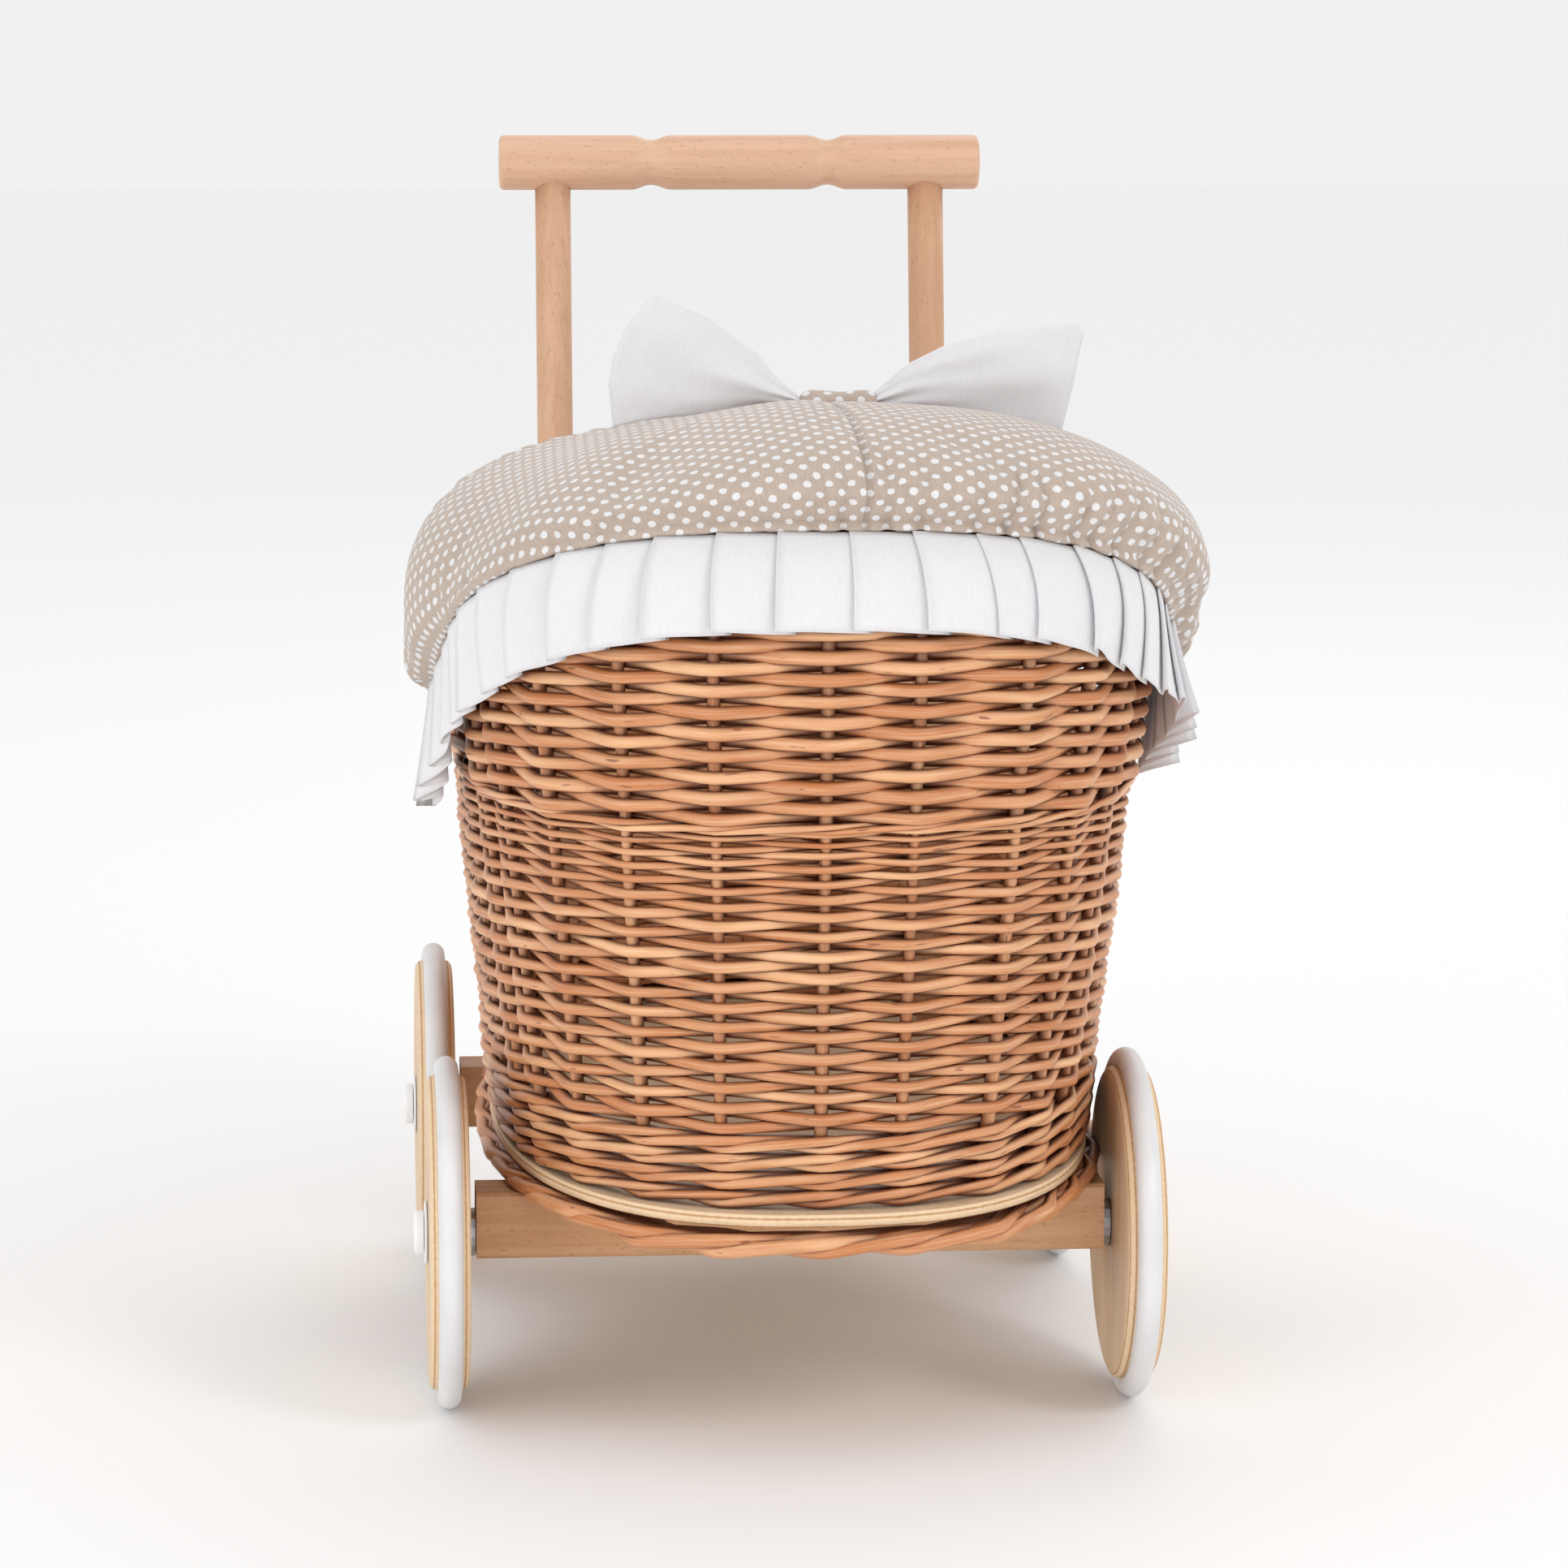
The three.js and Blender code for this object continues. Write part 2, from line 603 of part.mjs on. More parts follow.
// Each blank is longer than its piece, and is cut level at the foot and hollow at the bar.
function post(side) {
  const blank = drill(POST_RADIUS, postPoint(side, BOARD_TOP - 20), postPoint(side, BAR_Z), 20);
  const floor = new THREE.BoxGeometry(60, 60, 60)
    .translate(side * POST_X, POST_FOOT_Y, BOARD_TOP + GAP - 30);
  const saddle = drill(BAR_RADIUS + GAP, new THREE.Vector3(side * POST_X - 30, BAR_Y, BAR_Z),
    new THREE.Vector3(side * POST_X + 30, BAR_Y, BAR_Z), 48);
  const crown = new THREE.BoxGeometry(60, 60, 60)
    .translate(side * POST_X, BAR_Y, BAR_Z + 28);
  const [low, high] = dowelEnds(side);
  const reach = high.clone().sub(low).normalize();
  const dowelHole = drill(DOWEL_RADIUS + GAP, low.clone().addScaledVector(reach, -1),
    high.clone().addScaledVector(reach, 5), 12);
  const screwHole = drill(SCREW_RADIUS + GAP,
    new THREE.Vector3(side * POST_X, POST_SCREW_Y, BOARD_BOTTOM),
    new THREE.Vector3(side * POST_X, POST_SCREW_Y, postScrewTip() + 1), 12);
  return cut(blank, floor, saddle, crown, dowelHole, screwHole);
}

function postScrewHead() {
  return CROSSBAR_BOTTOM + POST_SCREW_RECESS;
}

function postScrewTip() {
  return postScrewHead() + POST_SCREW_LENGTH;
}

function gripProfile() {
  const grooves = [-GRIP_GROOVE_X, GRIP_GROOVE_X].flatMap((middle) => steps(4).map((step) => {
    const depth = GRIP_GROOVE_DEPTH * Math.sin(Math.PI * step) ** 2;
    return [BAR_RADIUS - depth, middle + mix(-1, 1, step) * GRIP_GROOVE_HALF_WIDTH];
  }));
  return [
    [0, -BAR_HALF_LENGTH], [BAR_RADIUS - BAR_EDGE, -BAR_HALF_LENGTH],
    [BAR_RADIUS, -BAR_HALF_LENGTH + BAR_EDGE], ...grooves,
    [BAR_RADIUS, BAR_HALF_LENGTH - BAR_EDGE], [BAR_RADIUS - BAR_EDGE, BAR_HALF_LENGTH],
    [0, BAR_HALF_LENGTH],
  ];
}

function addHandle() {
  const blank = turned(gripProfile(), 24).rotateZ(-Math.PI / 2).translate(0, BAR_Y, BAR_Z);
  const dowelHoles = [-1, 1].map((side) => {
    const [low, high] = dowelEnds(side);
    return drill(DOWEL_RADIUS + GAP, low, high.clone().add(high.clone().sub(low).setLength(1)), 12);
  });
  add(chassis, 'handle_bar', cut(blank, ...dowelHoles), BEECH);
  for (const [name, side] of [['left', -1], ['right', 1]]) {
    add(chassis, `${name}_post`, post(side), BEECH);
    add(chassis, `${name}_dowel`, drill(DOWEL_RADIUS, ...dowelEnds(side), 12), BEECH);
    add(chassis, `${name}_post_screw`, screw(POST_SCREW_LENGTH), STEEL, (mesh) => {
      mesh.rotation.x = -Math.PI / 2;
      mesh.position.set(side * POST_X, POST_SCREW_Y, postScrewHead());
    });
  }
}

addChassis();
addWheels();
addBasket();
addCover();
addRuffle();
addBow();
addHandle();

export default model;
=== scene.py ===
"""Looks of the doll stroller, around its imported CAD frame.

Shapes are worked out in millimetres and turned into metres when a piece is made. +Z is up, the
hood end faces -Y, and the basket's, hood's and hoops' formulas are those of the CAD part.
"""

import math

import bmesh
import bpy
import numpy as np
from mathutils import Matrix, Vector


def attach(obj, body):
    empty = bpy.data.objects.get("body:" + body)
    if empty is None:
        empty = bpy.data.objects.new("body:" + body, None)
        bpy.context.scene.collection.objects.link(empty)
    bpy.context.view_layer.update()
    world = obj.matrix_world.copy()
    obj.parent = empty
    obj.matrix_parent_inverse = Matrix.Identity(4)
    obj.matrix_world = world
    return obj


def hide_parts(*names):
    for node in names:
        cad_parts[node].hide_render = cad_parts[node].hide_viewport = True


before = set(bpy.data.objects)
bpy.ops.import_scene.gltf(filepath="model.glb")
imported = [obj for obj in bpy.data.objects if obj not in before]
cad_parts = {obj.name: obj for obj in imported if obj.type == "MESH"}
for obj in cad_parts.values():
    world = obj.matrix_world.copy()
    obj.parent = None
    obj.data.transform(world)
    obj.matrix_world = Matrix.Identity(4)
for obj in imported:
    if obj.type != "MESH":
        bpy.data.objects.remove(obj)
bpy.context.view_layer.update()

MM = 0.001
rng = np.random.default_rng(11)

# ---- Sizes of the CAD part ---------------------------------------

CHASSIS_X = -6
AXLES_Y = {"front": -108, "rear": 157}
WHEEL_RADIUS = 80
DISC_RADIUS = 71.5
DISC_THICKNESS = 18
DISC_INNER_FACE = 146.8  # from the chassis' middle
TYRE_RADIUS = 5.5
DISC_BORE = 6.8
CAP_BORE = 4.8
CAP_BASE_RADIUS = 14.5
CAP_RADIUS = 10
CAP_HEIGHT = 4.3

BASKET_Y = 9
FOOT_POWER = 2.5
HOOD_POWER = 3
BOARD_BOTTOM = 110
BOARD_TOP = 115.5
BOARD_HALF_WIDTH = 138.5
BOARD_HALF_LENGTH = 240
WALL_BOTTOM = 115.8
WALL_TOP = 290
WALL_HALF_WIDTH = 137.5
WALL_HALF_LENGTH = 231
SIDE_FLARE = 0.11
END_FLARE = 0.14
WALL_MIDDLE = 5  # the stakes stand this far inside the wall's outer face
RIM_Z = 296.6
BORDER_RADIUS = 6

HOOD_BOTTOM = 290.3
HOOD_EDGE_Y = -48
SHOULDER_Z = 355
CROWN_Z = 436
CROWN_POWER = 2.8
END_SWEEP = 0.06
SEAM_PIVOT_Z = 312
SEAM_TILT = 0.51
HEM_PIVOT_Z = 275
HEM_TILT = 0.44

BOW_X = 18
BOW_Y = -68
KNOT_Z = 457

POST_X = 93
POST_RADIUS = 8.8
POST_FOOT_Y = 148
BAR_Y = 223
BAR_Z = 543
BAR_RADIUS = 13.5
BAR_HALF_LENGTH = 119.5
GRIP_X = 44
GRIP_HALF_WIDTH = 10
GRIP_DEPTH = 2.4

# ---- Sizes of the looks ------------------------------------------

STAKE_RADIUS = 2.9
FRONT_STAKES = (221.5, 229.5, 239.5, 249.5, 258.8, 269.6, 278.4, 289.3, 297.8, 305.5)  # degrees
OTHER_STAKES = 20
ROD_SIDES = 8
SPAN_SHARES = (0.0, 0.12, 0.35, 0.65, 0.88)  # where a rod has points between two stakes

WALE_LEVELS = (120.8, 129.3, 137.8, 146.0)
WALE_ROD_RADIUS = 2.3
WALE_HEIGHT = 9
TOP_WALE_Z = 288.6
TOP_WALE_ROD_RADIUS = 1.55
TOP_WALE_HEIGHT = 5.4
FOOT_WALE_Z = 105.5
FOOT_ROD_RADIUS = 3.05
FOOT_WALE_HEIGHT = 5.2
STAKE_BOTTOM = 112
STAKE_TOP = 292
HOOD_STAKE_BOTTOM = 286
PLAIN_BOTTOM = 153
PLAIN_TOP = 287.5
THICK_PITCH = 4.6
THIN_PITCH = 2.45
THICK_ROD_RADIUS = 2.6
REAR_SWELL = 0.75  # the rods are thicker at the handle end
THIN_ROD_RADIUS = 1.45
THINNING_Z = 232  # the rods get thinner above this height
HOOD_PITCH = 4.8
HOOD_ROD_RADIUS = 3.15
ROD_SQUEEZE = 1.0  # how much nearer a rod lies to its stake than two hard rods would
ROPE_STRANDS = 4
ROPE_ROD_RADIUS = 2.5
ROPE_REACH = 3.4  # from the rope's middle to a strand's
STRAND_PITCH = 62
HOOD_FIRST_ROW = 293
THINNED_Z = 412  # above this height the hood's rows pass every other stake

COVER_CLEARANCE = 3.2
COVER_EDGE = 8
PUFF_SWEEPS = (0.06, 0.35, 0.7, 1.1, 1.57, 2.0, 2.4, 2.8, 3.08)  # from the +X side to the -X side
PUFFS = (9, 19, 20, 26, 29, 17, 5, 17, 20)  # padding at those sweeps, where it is thickest
COVER_COLUMNS = 288
COVER_ROWS = 56
SEAM_X = 14
CLOTH_THICKNESS = 0.5
DOT_SPACING = 10
SIDE_PLEAT = 7  # how much further the pleats of the two sides stand off
PLEAT_FOLD = 8  # depth of a pleat's fold
PUCKER_DEPTH = 4.5
CLOTH_FRAMES = 18
CLOTH_CAP = 4  # furthest that a point of the cover moves in the simulation
CLOTH = {
    "quality": 6, "mass": 0.15, "air_damping": 4,
    "tension_stiffness": 25, "compression_stiffness": 25,
    "shear_stiffness": 8, "bending_stiffness": 0.2,
    "use_pressure": True, "uniform_pressure_force": 2,
    "vertex_group_mass": "pinned", "pin_stiffness": 50,
    "vertex_group_shrink": "taut", "shrink_min": -0.06, "shrink_max": 0,  # 6% to spare
}
KNOT_HALF_LENGTH = 18.5
KNOT_RADIUS = 6
KNOT_DROP = 4.5
WING_START = 15  # from the middle of the knot
WINGS = {  # side, outer edge and top edge as (x, z) from the knot's x, and the creases' seed
    "bow_left_wing_cloth": (
        -1, [(-102, 449), (-104, 462), (-102, 475), (-95, 490), (-84, 503)],
        [(-15, 454), (-29, 466), (-37, 476), (-59, 492), (-84, 503)], 1.0),
    "bow_right_wing_cloth": (
        1, [(102, 448), (107, 460), (109, 472), (112, 484), (110, 489)],
        [(15, 456), (31, 470), (47, 478), (69, 485), (110, 489)], 2.6),
}

# ---- Camera, lights and floor ------------------------------------

CAMERA_AT = Vector((-221.1, -2725.6, 732.5)) * MM
CAMERA_YAW = math.radians(-4.63)
CAMERA_PITCH = math.radians(9.67)
CAMERA_ROLL = math.radians(0.22)
CAMERA_LENS = 135.7
HORIZON_LIGHT = 0.88
ZENITH_LIGHT = 0.96
LAMPS = (  # name, place, width in metres and power in watts
    ("key", (1.6, -1.9, 1.8), 0.9, 14),
    ("fill", (0.5, -2.5, 0.4), 1.0, 2.5),
    ("low left", (-1.5, -1.7, 0.45), 0.9, 9.5),
    ("back", (0.6, 1.8, 2.0), 1.4, 6),
)
LAMP_TARGET = Vector((0, 0, 0.25))
FLOOR_REACH = 8


def make_camera():
    forward = Vector((
        -math.sin(CAMERA_YAW) * math.cos(CAMERA_PITCH),
        math.cos(CAMERA_YAW) * math.cos(CAMERA_PITCH),
        -math.sin(CAMERA_PITCH),
    ))
    level = Vector((math.cos(CAMERA_YAW), math.sin(CAMERA_YAW), 0))
    over = level.cross(forward)
    right = math.cos(CAMERA_ROLL) * level + math.sin(CAMERA_ROLL) * over
    up = right.cross(forward)
    data = bpy.data.cameras.new("camera")
    data.lens = CAMERA_LENS
    data.sensor_width = 36
    data.clip_end = 50
    camera = bpy.data.objects.new("camera", data)
    turn = Matrix((right, up, -forward)).transposed().to_4x4()
    camera.matrix_world = Matrix.Translation(CAMERA_AT) @ turn
    bpy.context.collection.objects.link(camera)
    bpy.context.scene.camera = camera


def make_light(name, place, width, power):
    data = bpy.data.lights.new(name, "AREA")
    data.shape = "DISK"
    data.size = width
    data.energy = power
    light = bpy.data.objects.new(name, data)
    light.location = place
    aim = LAMP_TARGET - Vector(place)
    light.rotation_euler = aim.to_track_quat("-Z", "Y").to_euler()
    bpy.context.collection.objects.link(light)


def make_studio():
    bpy.context.scene.view_settings.view_transform = "Standard"
    world = bpy.data.worlds.new("studio")
    world.use_nodes = True
    tree = world.node_tree
    where = tree.nodes.new("ShaderNodeTexCoord")
    split = tree.nodes.new("ShaderNodeSeparateXYZ")
    height = tree.nodes.new("ShaderNodeMapRange")
    height.inputs["To Min"].default_value = HORIZON_LIGHT
    height.inputs["To Max"].default_value = ZENITH_LIGHT
    tree.links.new(where.outputs["Generated"], split.inputs[0])
    tree.links.new(split.outputs["Z"], height.inputs["Value"])
    tree.links.new(height.outputs[0], tree.nodes["Background"].inputs["Strength"])
    tree.nodes["Background"].inputs["Color"].default_value = (1.0, 1.0, 1.0, 1)
    bpy.context.scene.world = world
    for lamp in LAMPS:
        make_light(*lamp)

    corners = ((-1, -1), (1, -1), (1, 1), (-1, 1))
    points = [(x * FLOOR_REACH, y * FLOOR_REACH, 0) for x, y in corners]
    mesh = bpy.data.meshes.new("floor")
    mesh.from_pydata(points, [], [(0, 1, 2, 3)])
    mesh.materials.append(Shader("floor_white").finish((0.92, 0.92, 0.92, 1), 0.9))
    floor = bpy.data.objects.new("floor", mesh)
    bpy.context.collection.objects.link(floor)


# ---- Materials ---------------------------------------------------


def linear(red, green, blue):
    """A screen colour, 0 to 255, as the shader wants it."""
    shares = (c / 255 for c in (red, green, blue))
    return tuple(c / 12.92 if c < 0.04045 else ((c + 0.055) / 1.055) ** 2.4 for c in shares) + (1,)


class Shader:
    """A material whose nodes are added one by one and linked as they are named."""

    def __init__(self, name, **settings):
        self.material = bpy.data.materials.new(name)
        self.material.use_nodes = True
        self.tree = self.material.node_tree
        self.surface = self.tree.nodes["Principled BSDF"]
        self.set(self.surface, settings)

    def set(self, node, inputs):
        for key, value in inputs.items():
            socket = node.inputs[key.replace("_", " ") if isinstance(key, str) else key]
            if isinstance(value, bpy.types.NodeSocket):
                self.tree.links.new(value, socket)
            else:
                socket.default_value = value

    def add(self, kind, inputs=(), output=0, **settings):
        node = self.tree.nodes.new("ShaderNode" + kind)
        for key, value in settings.items():
            setattr(node, key, value)
        self.set(node, dict(inputs))
        return node.outputs[output]

    def math(self, operation, first, second=0.0, third=0.0):
        inputs = {0: first, 1: second, 2: third}
        return self.add("Math", inputs, operation=operation)

    def blend(self, share, first, second):
        """From the first colour to the second. A colour is a socket or three screen numbers."""
        inputs = {0: share}
        for slot, color in ((6, first), (7, second)):
            inputs[slot] = linear(*color) if isinstance(color, tuple) else color
        return self.add("Mix", inputs, output=2, data_type="RGBA")

    def tint(self, value, low, high, first, second, most=1.0):
        """From the first colour to the second, as a value goes from low to high."""
        return self.blend(self.ramp(value, low, high, 0, most), first, second)

    def noise(self, vector, scale, detail=3.0, roughness=0.55):
        inputs = {"Vector": vector, "Scale": scale, "Detail": detail, "Roughness": roughness}
        return self.add("TexNoise", inputs)

    def ramp(self, value, low, high, start=0.0, end=1.0):
        inputs = {"Value": value, "From Min": low, "From Max": high, "To Min": start, "To Max": end}
        return self.add("MapRange", inputs)

    def streaks(self, vector, scale, detail=3.0, roughness=0.55):
        """Noise stretched by a scale for each direction."""
        stretched = self.add("Mapping", {"Vector": vector, "Scale": scale})
        return self.noise(stretched, 1.0, detail, roughness)

    def place(self):
        """Where a point is on the object, in metres."""
        return self.add("TexCoord", output=3)

    def split(self, vector):
        """The three numbers of a vector."""
        return self.add("SeparateXYZ", {"Vector": vector}).node.outputs

    def attribute(self, name):
        return self.add("Attribute", output=1, attribute_name=name)

    def open_air(self, distance):
        """How little is near a point: 1 in the open, 0 deep in a gap."""
        return self.add("AmbientOcclusion", {"Distance": distance}, output=1, samples=4)

    def bump(self, height, strength, distance):
        inputs = {"Height": height, "Strength": strength, "Distance": distance}
        self.set(self.surface, {"Normal": self.add("Bump", inputs)})

    def finish(self, color, roughness):
        self.set(self.surface, {"Base Color": color, "Roughness": roughness})
        return self.material


def willow_material():
    """Peeled, boiled willow. Each rod's mesh says how far along and around a point is, and the
    rod's own shade, from 0 to 1."""
    shader = Shader("willow", Specular_IOR_Level=0.5, Coat_Weight=0.2, Coat_Roughness=0.3)
    rod = shader.attribute("rod")
    shade = shader.split(rod)[2]
    streaks = shader.streaks(rod, (30, 9, 50), 5)
    patches = shader.streaks(rod, (22, 1.2, 50), 3)
    fibres = shader.streaks(rod, (60, 60, 50), 2)
    knots = shader.streaks(rod, (70, 3, 90), 2)
    specks = shader.ramp(knots, 0.69, 0.74, 0, 0.75)
    color = shader.blend(shade, (202, 128, 75), (239, 187, 138))
    color = shader.tint(patches, 0.35, 0.68, color, (193, 118, 65))
    color = shader.tint(streaks, 0.42, 0.75, color, (243, 203, 166), 0.5)
    color = shader.blend(specks, color, (120, 66, 44))
    # Painted shade: the colour goes dark brown in the gaps between rods, where little light gets
    # in.
    color = shader.tint(shader.open_air(9 * MM), 0.25, 0.85, (90, 36, 16), color)
    height = shader.math("ADD", fibres, shader.math("MULTIPLY", specks, -0.8))
    shader.bump(height, 0.22, 0.0006)
    return shader.finish(color, shader.ramp(streaks, 0.3, 0.7, 0.38, 0.55))


def beech_material(name, axis, dark, light):
    """Steamed beech: fine grain along an axis, and the short dark flecks of its rays."""
    shader = Shader(name, Specular_IOR_Level=0.35)
    noises = []
    for across, along, *settings in ((260, 9, 6, 0.62), (42, 3, 2), (900, 260, 1)):
        scale = [along if index == axis else across for index in range(3)]
        noises.append(shader.streaks(shader.place(), scale, *settings))
    grain, bands, flecks = noises
    color = shader.tint(bands, 0.35, 0.65, dark, light)
    color = shader.tint(grain, 0.4, 0.7, color, tuple(c - 24 for c in dark), 0.4)
    color = shader.tint(flecks, 0.62, 0.7, color, tuple(c - 44 for c in dark), 0.35)
    shader.bump(grain, 0.12, 0.0004)
    return shader.finish(color, shader.ramp(grain, 0.3, 0.7, 0.42, 0.56))


def veneer_material():
    """The face of birch plywood, with its grain upright on the wheels and across the board."""
    shader = Shader("birch_face", Specular_IOR_Level=0.35)
    figure = shader.streaks(shader.place(), (30, 60, 8), 3)
    grain = shader.streaks(shader.place(), (300, 420, 14), 6, 0.6)
    color = shader.tint(figure, 0.35, 0.65, (222, 192, 156), (234, 211, 180))
    color = shader.tint(grain, 0.45, 0.72, color, (194, 156, 114), 0.45)
    shader.bump(grain, 0.1, 0.0003)
    return shader.finish(color, 0.5)


def ply_edge_material(name, axis, thickness, plies, start):
    """Cut edge of plywood: plies of end grain and long grain in turn, across an axis."""
    shader = Shader(name, Specular_IOR_Level=0.3)
    across = shader.split(shader.place())[axis]
    if axis == 0:
        across = shader.math("ABSOLUTE", across)
    depth = shader.math("SUBTRACT", across, start * MM)
    layer = shader.math("DIVIDE", depth, thickness * MM / plies)
    inside = shader.math("PINGPONG", layer, 1.0)
    fray = shader.streaks(shader.place(), (500, 500, 500), 4)
    wavy = shader.math("ADD", inside, shader.math("MULTIPLY", fray, 0.25))
    dark = shader.blend(fray, (176, 134, 94), (204, 164, 122))
    light = shader.blend(fray, (222, 190, 150), (238, 214, 182))
    shader.bump(wavy, 0.25, 0.0004)
    return shader.finish(shader.tint(wavy, 0.3, 0.5, dark, light), 0.6)


def weave_height(shader, vector, pitch):
    """Height of a plain weave with its threads a pitch apart, in metres."""
    waves = [
        shader.math("SINE", shader.math("MULTIPLY", place, 2 * math.pi / pitch))
        for place in shader.split(vector)[:2]
    ]
    return shader.math("MULTIPLY", *waves)


def white_cotton_material():
    shader = Shader(
        "white_cotton", Sheen_Weight=0.25, Sheen_Roughness=0.5, Specular_IOR_Level=0.2,
        Subsurface_Weight=0.5, Subsurface_Radius=(1, 1, 1), Subsurface_Scale=1.2 * MM)
    cloth = shader.attribute("cloth")
    slubs = shader.streaks(cloth, (900, 160, 1), 3)
    color = shader.tint(slubs, 0.3, 0.7, (221, 220, 223), (226, 226, 228))
    threads = weave_height(shader, cloth, 0.9 * MM)
    height = shader.math("ADD", threads, shader.math("MULTIPLY", slubs, 0.5))
    shader.bump(height, 0.12, 0.0002)
    return shader.finish(color, 0.85)


def dotted_cotton_material():
    """Taupe cotton with white dots, each row of them shifted by half. The third number of
    `cloth` is the distance from the stitched seam."""
    shader = Shader("dotted_cotton", Sheen_Weight=0.3, Sheen_Roughness=0.5, Specular_IOR_Level=0.2)
    cloth = shader.attribute("cloth")
    sideways, upward, from_seam = shader.split(cloth)
    row = shader.math("DIVIDE", upward, DOT_SPACING / 2 * MM)
    odd = shader.math("FLOORED_MODULO", shader.math("FLOOR", row), 2.0)
    column = shader.math("DIVIDE", sideways, DOT_SPACING * MM)
    column = shader.math("MULTIPLY_ADD", odd, 0.5, column)
    offset = {}
    for axis, place, size in ((0, column, DOT_SPACING), (1, row, DOT_SPACING / 2)):
        share = shader.math("SUBTRACT", shader.math("FRACT", place), 0.5)
        offset[axis] = shader.math("MULTIPLY", share, size)
    offset = shader.add("CombineXYZ", offset)
    reach = shader.add("VectorMath", {0: offset}, output=1, operation="LENGTH")
    wobble = shader.streaks(cloth, (700, 700, 1), 1)
    edge = shader.math("ADD", reach, shader.math("MULTIPLY", wobble, 0.5))
    slubs = shader.streaks(cloth, (1400, 220, 1), 3)
    color = shader.tint(slubs, 0.3, 0.7, (176, 159, 146), (189, 173, 160))
    color = shader.blend(shader.ramp(edge, 1.85, 2.15, 1, 0), color, (222, 221, 222))
    # Painted shadow: a dark line along the seam, for the shade in the dent where the cloth is sewn.
    seam_shadow = shader.ramp(from_seam, 0.6 * MM, 1.6 * MM, 0.5, 0)
    color = shader.blend(seam_shadow, color, (120, 104, 92))
    # Painted shade: the colour goes darker in creases and folds, where less light reaches.
    creases = shader.ramp(shader.open_air(5 * MM), 0.35, 0.8, 0.55, 0)
    color = shader.blend(creases, color, (128, 110, 98))
    height = shader.math("ADD", weave_height(shader, cloth, 0.7 * MM), slubs)
    shader.bump(height, 0.16, 0.0002)
    return shader.finish(color, 0.88)


def rubber_material():
    shader = Shader("white_rubber", Specular_IOR_Level=0.4, Subsurface_Weight=0.05)
    smudge = shader.noise(shader.place(), 26.0, 3)
    shader.bump(shader.noise(shader.place(), 900.0, 2), 0.06, 0.0002)
    color = shader.tint(smudge, 0.35, 0.7, (226, 225, 226), (216, 215, 216))
    return shader.finish(color, shader.ramp(smudge, 0.3, 0.7, 0.36, 0.5))


def plastic_material():
    shader = Shader("white_plastic", Specular_IOR_Level=0.5)
    haze = shader.noise(shader.place(), 60.0, 2)
    shader.bump(shader.noise(shader.place(), 1400.0, 1), 0.04, 0.0001)
    color = shader.blend(haze, (240, 240, 242), (247, 247, 248))
    return shader.finish(color, shader.ramp(haze, 0.3, 0.7, 0.26, 0.36))


def steel_material():
    shader = Shader("zinc_steel", Metallic=1.0)
    brushed = shader.streaks(shader.place(), (200, 200, 1500), 3)
    shader.bump(brushed, 0.08, 0.0001)
    color = shader.blend(brushed, (168, 172, 176), (202, 205, 208))
    return shader.finish(color, shader.ramp(brushed, 0.3, 0.7, 0.28, 0.45))


WILLOW = willow_material()
BEECH_ACROSS = beech_material("beech_across", 0, (200, 150, 108), (220, 176, 136))
BEECH_BAR = beech_material("beech_bar", 0, (216, 174, 143), (227, 188, 158))
BEECH_POST = beech_material("beech_post", 2, (206, 161, 128), (219, 178, 146))
BIRCH = veneer_material()
DISC_EDGE = ply_edge_material("birch_disc_edge", 0, DISC_THICKNESS, 13, 0)
BOARD_EDGE = ply_edge_material("birch_board_edge", 2, BOARD_TOP - BOARD_BOTTOM, 3, BOARD_BOTTOM)
RUBBER = rubber_material()
PLASTIC = plastic_material()
STEEL = steel_material()
COTTON = white_cotton_material()
DOTTED = dotted_cotton_material()

# ---- Making pieces -----------------------------------------------


def face_outward(mesh):
    """Turns the faces of a closed mesh round where they face inward."""
    shape = bmesh.new()
    shape.from_mesh(mesh)
    if shape.calc_volume(signed=True) < 0:
        bmesh.ops.reverse_faces(shape, faces=shape.faces)
        shape.to_mesh(mesh)
    shape.free()


def make_piece(name, points, faces, material, slot, *nodes, body="chassis"):
    """A smooth piece from points in millimetres. It rides on a CAD body, in place of CAD nodes."""
    mesh = bpy.data.meshes.new(name)
    mesh.from_pydata(np.reshape(points, (-1, 3)) * MM, [], faces)
    face_outward(mesh)
    mesh.materials.append(material)
    mesh.shade_smooth()
    piece = bpy.data.objects.new(name, mesh)
    bpy.context.collection.objects.link(piece)
    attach(piece, body)
    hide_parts(*nodes)
    return piece


def thicken(piece):
    thickness = piece.modifiers.new("thickness", "SOLIDIFY")
    thickness.thickness = CLOTH_THICKNESS * MM
    thickness.offset = 0


def point_attribute(piece, name, values):
    layer = piece.data.attributes.new(name, "FLOAT_VECTOR", "POINT")
    layer.data.foreach_set("vector", np.asarray(values, np.float32).ravel())


def mix(start, end, share):
    return start + (end - start) * share


def ease(value):
    """0 below 0, 1 above 1, and a smooth step between."""
    share = np.clip(value, 0, 1)
    return share * share * (3 - 2 * share)


def unit(vectors):
    return vectors / np.linalg.norm(vectors, axis=-1, keepdims=True)


def grid_faces(rows, columns, wrap_rows=False, wrap_columns=False):
    """Quads of a grid whose points are listed row by row."""
    first = np.arange(rows if wrap_rows else rows - 1)[:, None]
    second = np.arange(columns if wrap_columns else columns - 1)[None, :]
    next_first = (first + 1) % rows
    next_second = (second + 1) % columns
    corners = [
        first * columns + second, first * columns + next_second,
        next_first * columns + next_second, next_first * columns + second,
    ]
    return np.stack(corners, -1).reshape(-1, 4)


def tube_faces(rings, sides):
    """Faces of a tube of rings, with a flat cap at each end."""
    sleeve = grid_faces(rings, sides, wrap_columns=True).tolist()
    last = (rings - 1) * sides
    return [*sleeve, list(range(sides))[::-1], list(range(last, last + sides))]


